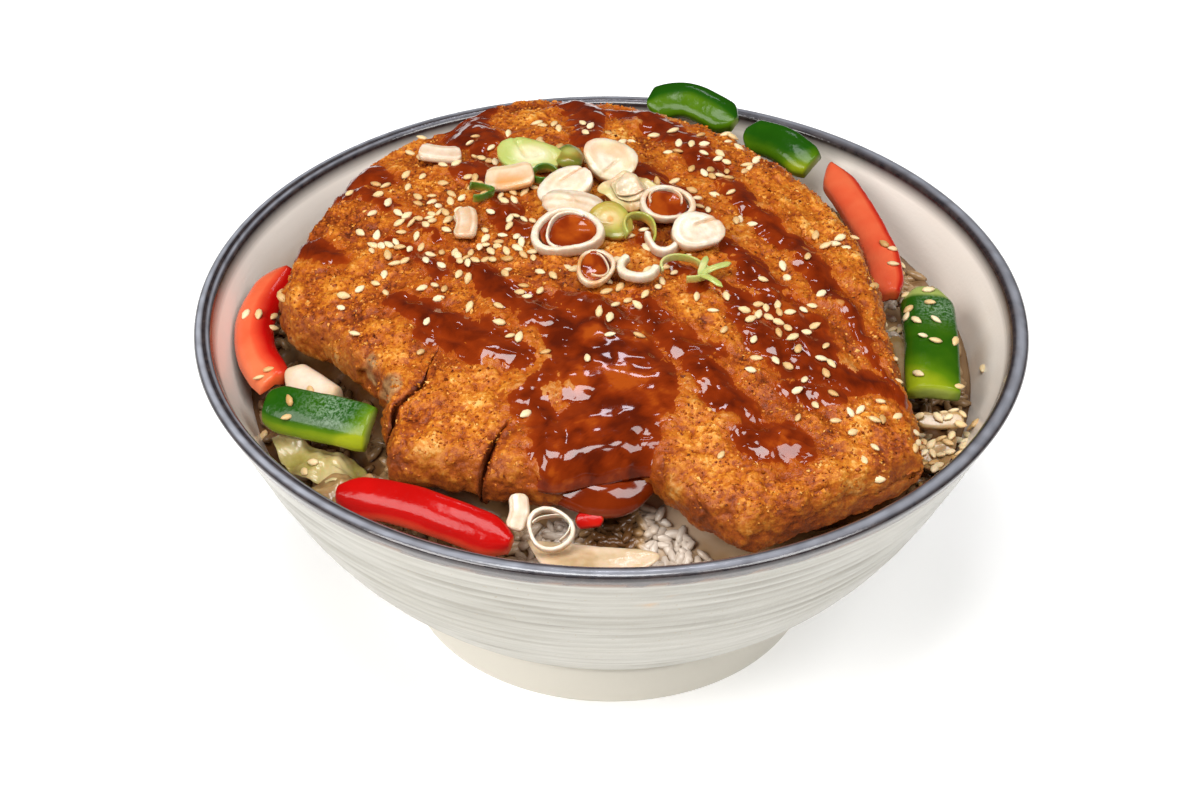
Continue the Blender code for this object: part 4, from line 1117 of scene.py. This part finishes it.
def sweep(path, width, thickness, facing, stations=56, around=36, ends=(0.7, 0.7), curl=0.0,
          squareness=2.6, bend=(1.0, 0.0), seed=0):
    """A strip along a path, its outer skin towards facing.

    The part of the section beyond bend[0] bends down by bend[1] of the half width.
    Gives points, faces, and for each point its height and side in the section and its way along.
    """
    spots = rounded_path(path, stations)
    points, skin, sides, along_share = [], [], [], []
    for step, spot in enumerate(spots):
        share = step / (stations - 1)
        tangent = unit(spots[min(step + 1, stations - 1)] - spots[max(step - 1, 0)])
        side = unit(np.cross(tangent, np.array(facing)))
        normal = np.cross(side, tangent)
        near_start, near_end = min(1.0, share * 7.0), min(1.0, (1.0 - share) * 7.0)
        taper = (ends[0] + (1 - ends[0]) * math.sin(near_start * math.pi / 2)) * \
                (ends[1] + (1 - ends[1]) * math.sin(near_end * math.pi / 2))
        for k in range(around):
            turn = 2 * math.pi * k / around
            c, s = math.cos(turn), math.sin(turn)
            reach = math.copysign(abs(c) ** (2 / squareness), c)
            across = 0.5 * width * taper * reach
            up = 0.5 * thickness * math.copysign(abs(s) ** (2 / squareness), s)
            up -= curl * reach ** 2
            up -= 0.5 * width * bend[1] * max(0.0, reach - bend[0])
            points.append(spot + side * across + normal * up)
            skin.append(s)
            sides.append(reach)
            along_share.append(share)
    points = np.array(points)
    wobble = 0.22 * value_noise(points, 7.0, seed) + 0.07 * value_noise(points, 2.5, seed + 1)
    away = points - np.repeat(spots, around, axis=0)
    away /= np.linalg.norm(away, axis=1, keepdims=True) + 1e-9
    points = points + away * wobble[:, None]
    faces = []
    for step in range(stations - 1):
        here, there = step * around, (step + 1) * around
        faces += [(there + k, there + (k + 1) % around, here + (k + 1) % around, here + k)
                  for k in range(around)]
    for end, direction in ((0, -1), (stations - 1, 1)):
        ring = [end * around + k for k in range(around)]
        tangent = unit(spots[end] - spots[end - direction])
        middle = points[ring].mean(axis=0)
        inner = len(points)
        bulged = points[ring] * 0.5 + middle * 0.5 + tangent * 0.35
        points = np.concatenate([points, bulged, [middle + tangent * 0.4]])
        skin += [-0.6] * (around + 1)
        sides += [0.0] * (around + 1)
        along_share += [end / (stations - 1)] * (around + 1)
        for k in range(around):
            after = (k + 1) % around
            quad = (ring[k], ring[after], inner + after, inner + k)
            cap = (inner + k, inner + after, inner + around)
            faces.append(quad[::-1] if direction > 0 else quad)
            faces.append(cap[::-1] if direction > 0 else cap)
    return points, faces, np.array(skin), np.array(sides), np.array(along_share)


def onion_spots():
    """Plan position and reach of each piece of the heap."""
    spots = []
    for number in range(1, HEAP_COUNT + 1):
        low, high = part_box("spring_onion_%d" % number)
        centre = (low + high) / 2 / MM
        spots.append((centre.x, centre.y, (high.x - low.x) / 2 / MM))
    return spots


def make_peppers(green, red):
    made = []
    for seed, (name, row) in enumerate(PEPPERS.items()):
        path, width, thickness, facing, ends, curl, bend, tones = row
        base, side_rise, side_from, end_rise = tones
        points, faces, skin, side, share = sweep(path, width, thickness, facing, ends=ends, curl=curl,
                                                 squareness=4.0, bend=bend, seed=10 * seed)
        soft = 0.12 if bend[0] <= 0.0 else 0.45
        shade = base + side_rise * smooth_step(side, side_from, side_from + soft)
        shade += end_rise * smooth_step(share + 0.12 * side, 0.70, 1.0)
        flesh = smooth_fall(skin, -0.75, -0.35)
        glint_at, glint_reach = PAINTED_GLINT_PATCHES.get(name, (0.0, 0.0))
        # Painted highlight patch on the outer skin
        painted_glint = np.zeros(len(share))
        if glint_reach:
            painted_glint = 0.5 * np.exp(-((share - glint_at) / glint_reach) ** 2)
            painted_glint *= smooth_step(skin, 0.2, 0.7) * smooth_fall(side, 0.2, 0.6)
        if name == "green_pepper_2":
            flesh = np.maximum(flesh, smooth_fall(share, 0.07, 0.11))
        kind = name.split("_")[0]
        made.append(dress(name, points, faces, green if kind == "green" else red,
                          {"flesh": flesh, "shade": shade, "painted_glint": painted_glint}))
    return made


def slab(outline, level, slope, thickness, waves, wrinkle=0.0, seed=0):
    """A thin wavy leaf or slice, finely divided."""
    steps, rings = 10, 22
    corners = len(outline)
    ring = np.array(rounded_path([*outline, outline[0]], corners * steps + 1)[:-1])
    if np.sum(ring[:, 0] * np.roll(ring[:, 1], -1) - ring[:, 1] * np.roll(ring[:, 0], -1)) < 0.0:
        ring = ring[::-1]
    middle = ring.mean(axis=0)
    count = len(ring)
    shares = [1.0 - (k / rings) for k in range(rings)]
    flat = np.concatenate([middle + (ring - middle) * share for share in shares] + [[middle]])
    x, y = flat[:, 0] - middle[0], flat[:, 1] - middle[1]
    wave = np.sin((flat[:, 0] + 0.6 * flat[:, 1]) / waves[1]) \
        + 0.6 * np.sin((flat[:, 1] - 0.5 * flat[:, 0]) / waves[1] * 1.3)
    height = level + slope[0] * x + slope[1] * y + waves[0] * wave
    height = height + wrinkle * layered_noise(flat_points(flat[:, 0], flat[:, 1]), 4.5, 3, seed)
    edge_share = np.concatenate([np.full(count, s) for s in shares] + [[0.0]])
    half = 0.5 * thickness * np.sqrt(np.clip(1.0 - edge_share ** 8, 0.02, 1.0))
    upper = np.stack([flat[:, 0], flat[:, 1], height - 0.5 * thickness + half], axis=1)
    lower = np.stack([flat[:, 0], flat[:, 1], height - 0.5 * thickness - half], axis=1)
    points = np.concatenate([upper, lower])
    total = len(flat)
    faces = []
    for k in range(rings - 1):
        for j in range(count):
            after = (j + 1) % count
            a, b, c, d = k * count + j, k * count + after, (k + 1) * count + after, (k + 1) * count + j
            faces += [(a, b, c), (a, c, d), (total + c, total + b, total + a),
                      (total + d, total + c, total + a)]
    inner = (rings - 1) * count
    for j in range(count):
        after = (j + 1) % count
        faces += [(inner + j, inner + after, total - 1), (total + inner + after, total + inner + j,
                                                          2 * total - 1)]
        faces += [(after, j, total + j), (after, total + j, total + after)]
    return points, faces, edge_share


def make_leaves(leaf, brown, pale):
    rows = (
        ("cabbage_1", leaf, "leaf", [(-80, -33), (-70, -37.5), (-60, -41.5), (-56, -46.5),
                                     (-60.5, -52), (-68, -50), (-76, -42.5)],
         67.8, (0.02, 0.08), 1.0, (0.9, 2.6), 1.9),
        ("cabbage_2", brown, "brown_leaf", [(-70, -52), (-66, -50), (-60, -49), (-55, -50.5), (-54.5, -57),
                                            (-62, -60), (-67.5, -57)],
         68.4, (0.03, 0.20), 1.0, (0.8, 1.7), 1.9),
        ("cabbage_3", brown, "brown_leaf", [(70.5, -34), (76, -34), (81, -33), (79.5, -39.5),
                                     (76, -44.5), (71.5, -40)],
         67.6, (0.05, 0.05), 1.0, (0.7, 2.2), 1.5),
        ("onion_1", pale, "onion_white", [(-19, -72.5), (-10, -73), (0, -74.5), (11, -77),
                                          (6, -82), (-5, -83.5), (-14, -82.5)],
         68.6, (0.0, 0.05), 1.6, (0.35, 6.0), 0.3),
        ("onion_2", pale, "onion_white", [(16, -77.5), (22, -80), (29, -80.5), (25, -83.5),
                                          (17, -83.5)],
         64.8, (0.0, 0.05), 1.5, (0.3, 6.0), 0.3),
    )
    made = []
    for seed, (name, paint, slot, outline, level, slope, thickness, waves, wrinkle) in enumerate(rows):
        points, faces, edge_share = slab(outline, level, slope, thickness, waves, wrinkle, 70 + seed)
        flat = points * np.array((1.0, 1.0, 0.0))
        # Painted shade: the leaf is darker in its wrinkle hollows; the second noise is random tone.
        tone = 0.5 - 0.5 * layered_noise(flat, 4.5, 3, 70 + seed)
        tone += 0.35 * layered_noise(points, 9.0, 2, 80 + seed)
        shade = np.concatenate([edge_share, edge_share]) * 0.15 + 0.75 * tone
        made.append(dress(name, points, faces, paint, {"shade": shade}))
    return made


def make_stems(pale):
    made = []
    rows = (
        ("onion_stem", [(-75.5, -17.5, 73.5), (-70, -23, 73.8), (-65, -28, 73)], 8.0, 7.0,
         (-0.3, -0.5, 0.8), (0.5, 0.55)),
        ("onion_3", [(69, 4, 70.3), (71, -6, 70.3), (71.5, -17, 70)], 5.0, 2.0, (0.2, -0.3, 0.9),
         (0.5, 0.5)),
        ("onion_4", [(72.5, -29.5, 70.8), (77, -30.5, 71), (82.5, -30, 71.4)], 4.2, 2.0,
         (0.0, -0.5, 0.85), (0.6, 0.6)),
    )
    for name, path, width, thickness, facing, ends in rows:
        points, faces, skin, _, share = sweep(path, width, thickness, facing, 40, 24, ends,
                                              squareness=2.2 if name == "onion_stem" else 4.0,
                                              seed=90)
        base = 0.80 if name == "onion_stem" else 0.12
        shade = base - 0.35 * smooth_step(np.abs(share - 0.5), 0.25, 0.5) + 0.1 * skin
        made.append(dress(name, points, faces, pale, {"shade": shade}))
    return made


# Spring onion

def turned(section, size_x, size_y, closed, arc, seed):
    """Turn a section of (reach, height, shade) about the upright axis, a little unevenly."""
    rng = random.Random(seed)
    phases = [rng.uniform(0, 6.28) for _ in range(4)]
    count = ONION_SIDES if arc >= 1.0 else int(ONION_SIDES * arc) + 1
    ring = section if closed else section[1:-1]
    points, shade = [], []
    for k in range(count):
        turn = 2 * math.pi * k / ONION_SIDES + phases[3]
        uneven = 1.0 + 0.09 * math.sin(2 * turn + phases[0]) + 0.05 * math.sin(3 * turn + phases[1])
        for reach, level, tone in ring:
            lift = 0.34 * reach * math.sin(2 * turn + phases[2])
            ripple = 1.0 + 0.006 * math.sin(17 * turn + 9 * reach)
            points.append((0.5 * size_x * reach * uneven * ripple * math.cos(turn),
                           0.5 * size_y * reach * uneven * ripple * math.sin(turn), level + lift))
            shade.append(tone)
    width = len(ring)
    faces = []
    for k in range(count if arc >= 1.0 else count - 1):
        here, there = k * width, (k + 1) % count * width
        for j in range(width if closed else width - 1):
            j_next = (j + 1) % width
            faces.append((here + j, there + j, there + j_next, here + j_next))
        if not closed:
            low, high = count * width, count * width + 1
            faces.append((low, there, here))
            faces.append((high, here + width - 1, there + width - 1))
    if not closed:
        for _, level, tone in (section[0], section[-1]):
            points.append((0.0, 0.0, level))
            shade.append(tone)
    if arc < 1.0:
        faces.append(tuple(range(width)))
        faces.append(tuple(range(count * width - 1, (count - 1) * width - 1, -1)))
    return np.array(points), faces, np.array(shade)


def wall_section(outer, inner, height):
    """Rounded section of a thin wall."""
    middle, half = (outer + inner) / 2, (outer - inner) / 2
    section = []
    for k in range(16):
        turn = 2 * math.pi * k / 16
        c, s = math.cos(turn), math.sin(turn)
        section.append((middle + half * math.copysign(abs(c) ** 0.6, c),
                        0.5 * height * math.copysign(abs(s) ** 0.6, s), 0.15 + 0.5 * (0.5 - 0.5 * s)))
    return section


def disc_section(height):
    """Section of a solid slice with faint rings on top."""
    section = [(0.0, -0.45 * height, 0.6), (0.8, -0.45 * height, 0.6), (0.97, -0.3 * height, 0.5)]
    for k in range(22):
        reach = 1.0 - k / 21
        ridge = 0.5 + 0.5 * math.cos(reach * 15.0)
        section.append((reach, (0.34 + 0.10 * min(1.0, 5 * (1 - reach)) + 0.018 * ridge) * height,
                        0.08 + 0.16 * (1 - ridge)))
    return section


def wall_bodies(kind, size_x, size_y, height, seed):
    """The thin walls of rings, halves and curls: outer and inner reach, arc and share of the height."""
    walls = {"ring": ((1.0, 0.80, 1.0, 1.0), (0.74, 0.66, 0.62, 0.9)),
             "filled ring": ((1.0, 0.78, 1.0, 1.0), (0.72, 0.62, 0.55, 1.05)),
             "half": ((1.0, 0.62, 0.58, 1.0),),
             "curl": ((1.0, 0.82, 0.72, 1.0),), "forked curl": ((1.0, 0.86, 0.80, 1.0),)}
    rng = random.Random(seed)
    parts = []
    for outer, inner, arc, share in walls.get(kind, ()):
        points, faces, shade = turned(wall_section(outer, inner, height * share), size_x, size_y, True,
                                      arc, seed + int(10 * outer))
        offset = np.array((rng.uniform(-0.3, 0.3), rng.uniform(-0.3, 0.3), 0.0))
        parts.append((points + offset, faces, shade))
    return parts


def fork_bodies(size_x, size_y, seed):
    """Thin strips that stick out of a curl."""
    parts = []
    for way, long in ((0.5, 8.0), (1.3, 6.0), (-0.7, 6.5)):
        end = np.array((math.cos(way), math.sin(way), 0.06)) * long
        start = np.array((0.30 * size_x, -0.30 * size_y, 0.6))
        points, faces, skin, _, _ = sweep([start, start + 0.5 * end + (0, 0, 0.5), start + end], 1.5, 0.6,
                                          (0, 0, 1), 16, 16, (0.7, 0.3), seed=seed)
        parts.append((points, faces, 0.25 + 0.1 * skin))
    return parts


def sauce_film(size_x, size_y, height, seed):
    """The sauce that fills a ring."""
    section = ((0.0, -0.30), (0.78, -0.30), (0.86, 0.0), (0.80, 0.24), (0.6, 0.16), (0.3, 0.20), (0.0, 0.14))
    film = [(reach, level * height, 0.5) for reach, level in section]
    return turned(film, size_x, size_y, False, 1.0, seed)[:2]


def disc_body(size_x, size_y, height, seed):
    """A solid slice with a slit."""
    points, faces, shade = turned(disc_section(height), size_x, size_y, False, 1.0, seed)
    way = random.Random(seed).uniform(0, 6.28)
    along = points[:, 0] * math.cos(way) + points[:, 1] * math.sin(way)
    beside = points[:, 1] * math.cos(way) - points[:, 0] * math.sin(way)
    slit = np.exp(-((beside - 0.14 * size_y) / 0.35) ** 2) * smooth_step(along, -1.5, 1.0)
    slit *= points[:, 2] > 0.0
    points[:, 2] += 0.035 * along * np.abs(along) / size_x * 4 - 0.5 * slit
    return points, faces, shade + 0.6 * slit


def dome_body(size_x, size_y, height):
    """A rounded piece with faint ridges."""
    points, faces = ball(40, 20)
    angle = np.arctan2(points[:, 1], points[:, 0])
    ridge = 0.5 + 0.5 * np.sin(14 * points[:, 1] + 2 * points[:, 0])
    points = points * np.array((size_x / 2, size_y / 2, height * 0.75))
    points *= (1.0 + 0.05 * ridge + 0.05 * np.sin(3 * angle))[:, None]
    points[:, 2] = np.maximum(points[:, 2], -0.45 * height)
    return points, faces, 0.1 + 0.35 * (1 - ridge)


def crumple_bodies(size_x, size_y, seed):
    """Three thin crumpled layers, each smaller than the one below."""
    rng = random.Random(seed)
    parts = []
    for layer, (turn, reach) in enumerate(((0.3, 1.0), (1.4, 0.72), (2.6, 0.55))):
        outline = []
        for k in range(9):
            way = 2 * math.pi * k / 9 + turn
            long = reach * rng.uniform(0.72, 1.05) * 0.5
            outline.append((long * size_x * math.cos(way), long * size_y * math.sin(way)))
        points, faces, edge = slab(outline, -0.8 + 1.1 * layer, (0, 0), 0.8, (0.42, 1.1), 0.9,
                                   seed + layer)
        parts.append((points, faces, 0.15 + 0.5 * np.concatenate([edge, edge])))
    return parts


def strip_body(kind, size_x, size_y, height, seed):
    """A fibrous chip or tube along its longer side."""
    long_y = size_y > size_x
    reach = (size_y if long_y else size_x) / 2
    path = [(-reach, 0.3, 0), (0, -0.4, 0.2), (reach, 0.3, 0)]
    if long_y:
        path = [(-y, x, z) for x, y, z in path]
    points, faces, _, side, _ = sweep(path, min(size_x, size_y), height, (0, 0, 1), 36, 32, (0.75, 0.7),
                                      0.3, 2.0 if kind == "tube" else 4.5, seed=seed)
    return points, faces, 0.15 + 0.4 * (0.5 + 0.5 * np.sin(side * 16))


def onion_parts(kind, size_x, size_y, height, seed):
    """The bodies of one piece: points, faces and shade."""
    if kind == "disc":
        return [disc_body(size_x, size_y, height, seed)]
    if kind == "dome":
        return [dome_body(size_x, size_y, height)]
    if kind == "crumple":
        return crumple_bodies(size_x, size_y, seed)
    if kind in ("chip", "tube"):
        return [strip_body(kind, size_x, size_y, height, seed)]
    parts = wall_bodies(kind, size_x, size_y, height, seed)
    if kind == "forked curl":
        parts += fork_bodies(size_x, size_y, seed)
    return parts


def make_spring_onion(paint, sauce):
    """All spring onion pieces, and the sauce inside the filled rings as one piece."""
    films = []
    for number, row in ONIONS.items():
        kind, size_x, size_y, height, tilt_x, tilt_y, green, brown = row
        name = "spring_onion_%d" % number
        low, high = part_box(name)
        centre = np.array((low + high) / 2) / MM
        lean = 1.0
        if number <= HEAP_COUNT:
            inward = HEAP_MIDDLE - centre[:2]
            centre[:2] += inward * min(1.0, HEAP_PULL / np.linalg.norm(inward))
            lean = LEAN_SHARE
        tilt = Euler((math.radians(lean * tilt_x), math.radians(lean * tilt_y), 0.0))
        tilt = np.array(tilt.to_matrix())
        wide_x, wide_y = ONION_GROWTH * size_x, ONION_GROWTH * size_y
        bodies = onion_parts(kind, wide_x, wide_y, height, 7 * number)
        if kind == "filled ring":
            film, film_faces = sauce_film(wide_x, wide_y, height, 7 * number)
            films.append((film @ tilt.T + centre + ONION_LIFT, film_faces))
        points, faces = join_parts([body[:2] for body in bodies])
        shade = np.concatenate([body[2] for body in bodies])
        reach = np.hypot(points[:, 0] / size_x, points[:, 1] / size_y) * 2
        stain = smooth_step(value_noise(points + number * 9.0, 4.0, 15), -0.2, 0.7)
        low_share = smooth_step(-points[:, 2] / height, -0.15, 0.5)
        browned = brown * (0.5 + stain) + 0.6 * stain * low_share + 0.25 * low_share + 0.12 * stain
        browned = np.clip(browned, 0.0, 0.9)
        if number == 16:
            browned = np.maximum(browned, 0.8 * smooth_fall(reach, 0.12, 0.3))
        greened = green * (0.75 + 0.5 * smooth_step(reach, 0.3, 1.0))
        greened = clamp(greened + 0.14 * value_noise(points + number, 4.5, 16))
        points = points @ tilt.T + centre + ONION_LIFT
        dress(name, points, faces, paint,
              {"shade": shade, "green": greened, "brown": browned})
    points, faces = join_parts(films)
    points[:, 2] += 0.30 * layered_noise(points, 2.6, 2, 17)
    depth = clamp(0.25 + 0.9 * layered_noise(points, 3.0, 2, 18))
    make_piece("onion_sauce", points, faces, sauce, values={"depth": depth})


# Rice

def rice_top(x, y):
    return dome(x, y) - RICE_DEPTH - RICE_FALL * smooth_step(np.hypot(x, y), 52.0, 70.0)


def rice_relief(top):
    """Lumps of the rice, strongest near the wall and calm in front."""
    flat = top * np.array((1.0, 1.0, 0.0))
    distance = np.hypot(top[:, 0], top[:, 1])
    outward = smooth_step(distance, 48.0, 60.0) * smooth_fall(distance, 83.0, 85.5)
    outward *= 1.0 - 0.7 * open_front(top)
    lumps = 2.6 * layered_noise(flat, 7.0, 3, 92) + 0.8 * cell_bumps(flat, 1.8, 93)
    return outward * lumps + 0.7 * cell_bumps(flat, 3.0, 91) - 0.4


def under_cutlet(x, y):
    """Whether a plan position is well inside the cutlet's outline."""
    across = x * math.sin(CUT_ANGLE) - y * math.cos(CUT_ANGLE)
    along = x * math.cos(CUT_ANGLE) + y * math.sin(CUT_ANGLE)
    inside_across = LEFT_END + 4.0 < across < RIGHT_END - 4.0
    return inside_across and follow(FRONT_EDGE, across) + 4.0 < along < follow(BACK_EDGE, across) - 4.0


def open_front(points):
    """Where plain rice shows, in front of the cutlet and beside it on the right."""
    front = smooth_fall(np.abs(points[:, 0] - 8.0), 20.0, 34.0)
    front *= smooth_fall(points[:, 1], -60.0, -50.0)
    beside = smooth_fall(np.hypot(points[:, 0] - 69.0, (points[:, 1] - 9.0) / 1.6), 6.0, 10.0)
    return np.maximum(front, 0.8 * beside)


def make_rice(paint):
    """Rice core with fine relief, and grains where the rice shows."""
    sides, ring_count = 270, 90
    turns = 2 * math.pi * np.arange(sides) / sides
    points = []
    for k in range(ring_count):
        share = (k + 1) / ring_count
        reach = share * (inner_radius(64.0) - 0.9)
        x, y = reach * np.cos(turns), reach * np.sin(turns)
        z = np.minimum(rice_top(x, y), 79.0)
        if k == ring_count - 1:
            z = np.minimum(z, 64.0)
        points.append(np.stack([x, y, z], axis=1))
    top_count = len(points)
    for height in (56.0, 44.0, 32.0, 20.0):
        reach = inner_radius(height) - 0.9
        points.append(ring_points(reach, turns, np.full(sides, height)))
    top = np.concatenate(points[:top_count])
    top[:, 2] += rice_relief(top)
    points = np.concatenate([top] + points[top_count:] + [[(0, 0, rice_top(0, 0))], [(0, 0, 17.4)]])
    faces = []
    rings = top_count + 4
    for k in range(sides):
        after = (k + 1) % sides
        faces.append((len(points) - 2, k, after))
        for ring in range(rings - 1):
            here, below = ring * sides, (ring + 1) * sides
            faces.append((here + k, below + k, below + after, here + after))
        faces.append((len(points) - 1, (rings - 1) * sides + after, (rings - 1) * sides + k))
    core = (points, faces)
    soaked = soak_of(points)
    soaked = clamp(soaked + 0.28)
    template, template_faces = ball(7, 6)
    rng = random.Random(5)
    parts, tones = [core], [soaked]
    while len(parts) <= GRAINS:
        if len(parts) % 3 == 0:
            x, y = rng.uniform(-50, 38), rng.uniform(-85, -56)
        else:
            way, reach = rng.uniform(0, 6.28), rng.uniform(56, GRAIN_REACH)
            x, y = reach * math.cos(way), reach * math.sin(way)
        if math.hypot(x, y) > GRAIN_REACH or under_cutlet(x, y):
            continue
        spot = np.array([[x, y, 0.0]])
        z = float((rice_top(spot[:, 0], spot[:, 1]) + rice_relief(spot))[0])
        size = np.array(GRAIN_HALF) * rng.uniform(0.8, 1.1)
        normal = Vector((rng.gauss(0, 0.35), rng.gauss(-0.15, 0.35), 1)).normalized()
        made = lay(template, size, (x, y, z + rng.uniform(0.1, 0.9)), normal, rng.uniform(0, 6.28))
        parts.append((made, template_faces))
        tones.append(soak_of(made))
    points, faces = join_parts(parts)
    return dress("rice", points, faces, paint, {"soaked": np.concatenate(tones)})


def soak_of(points):
    """Share of sauce on the rice: heavy at both sides, with patches in front."""
    spots = ((0, -66, 9, 0.95), (13, -79, 6, 0.9), (66, -50, 24, 0.8), (-66, -48, 20, 0.85),
             (-72, -20, 30, 0.75), (80, -20, 22, 0.75), (30, -76, 7, 0.7))
    distance = np.hypot(points[:, 0], points[:, 1])
    covered = 1.0 - open_front(points)
    soaked = 0.52 * smooth_step(distance, 40.0, 55.0) * covered
    for x, y, size, share in spots:
        patch = share * spot_share(points, x, y, size * 0.55, size)
        soaked = np.maximum(soaked, patch * (covered if size > 10 else 1.0))
    return clamp(soaked + 0.26 * layered_noise(points, 7.0, 3, 95))


# Stage

def make_stage():
    mesh = bpy.data.meshes.new("floor")
    corners = [(x * FLOOR_HALF, y * FLOOR_HALF, -0.02) for x, y in ((-1, -1), (1, -1), (1, 1), (-1, 1))]
    mesh.from_pydata([tuple(c * MM for c in corner) for corner in corners], [], [(0, 1, 2, 3)])
    floor = new_object("floor", mesh)
    paint, _, shader = new_paint("floor", Roughness=0.9, Specular_IOR_Level=0.1)
    shader.inputs["Base Color"].default_value = (0.95, 0.95, 0.95, 1.0)
    shader.inputs["Emission Color"].default_value = (*WHITE, 1.0)
    shader.inputs["Emission Strength"].default_value = 0.30
    mesh.materials.append(paint)


def add_light(name, place, target, size, power, colour):
    light = bpy.data.lights.new(name, "AREA")
    light.shape = "RECTANGLE"
    light.size, light.size_y = size[0] * MM, size[1] * MM
    light.energy = power
    light.color = colour
    lamp = new_object(name, light)
    lamp.location = Vector(place) * MM
    lamp.rotation_euler = (Vector(target) - Vector(place)).to_track_quat("-Z", "Y").to_euler()


def light_scene():
    world = bpy.data.worlds.new("studio")
    bpy.context.scene.world = world
    world.use_nodes = True
    background = world.node_tree.nodes["Background"]
    background.inputs["Color"].default_value = (*WHITE, 1.0)
    background.inputs["Strength"].default_value = WORLD_STRENGTH
    for row in LIGHTS:
        add_light(*row)
    bpy.context.scene.view_settings.view_transform = "Standard"


def add_camera():
    camera = bpy.data.cameras.new("camera")
    camera.lens = LENS
    camera.sensor_width = 36.0
    camera.clip_start, camera.clip_end = 0.01, 20.0
    holder = new_object("camera", camera)
    holder.location = Vector(CAMERA_PLACE) * MM
    aim = Euler((math.radians(90.0 - CAMERA_PITCH), 0.0, 0.0)).to_matrix()
    roll = Euler((0.0, 0.0, math.radians(CAMERA_ROLL))).to_matrix()
    holder.rotation_euler = (aim @ roll).to_euler()
    bpy.context.scene.camera = holder


def main():
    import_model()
    bowl = make_bowl(ceramic_paint())
    crust = crust_paint()
    borders = (LEFT_END, *CUTS, RIGHT_END)
    slices = [make_slice(number, a, b, crust)
              for number, (a, b) in enumerate(zip(borders, borders[1:]), start=1)]
    sauce_skin = sauce_paint()
    sauce = make_sauce(sauce_skin)
    drip = make_drip(sauce_skin)
    make_flakes(surface_of(slices), crust)
    green = pepper_paint("green_pepper", GREEN_SKIN, (0.30, 0.36, 0.09))
    red = pepper_paint("red_pepper", RED_SKIN, (0.66, 0.11, 0.025))
    laid = slices + [sauce, drip] + make_peppers(green, red)
    leaf = onion_paint("leaf", LEAF_TONES)
    brown = onion_paint("brown_leaf", BROWN_LEAF_TONES)
    pale = onion_paint("pale_onion", PALE_ONION_TONES)
    laid += make_leaves(leaf, brown, pale) + make_stems(pale)
    make_spring_onion(leek_paint(), sauce_skin)
    laid += [make_rice(rice_paint()), bowl]
    make_seeds(surface_of(laid), seed_paint(), onion_spots())
    make_stage()
    light_scene()
    add_camera()
    bpy.context.view_layer.update()


main()
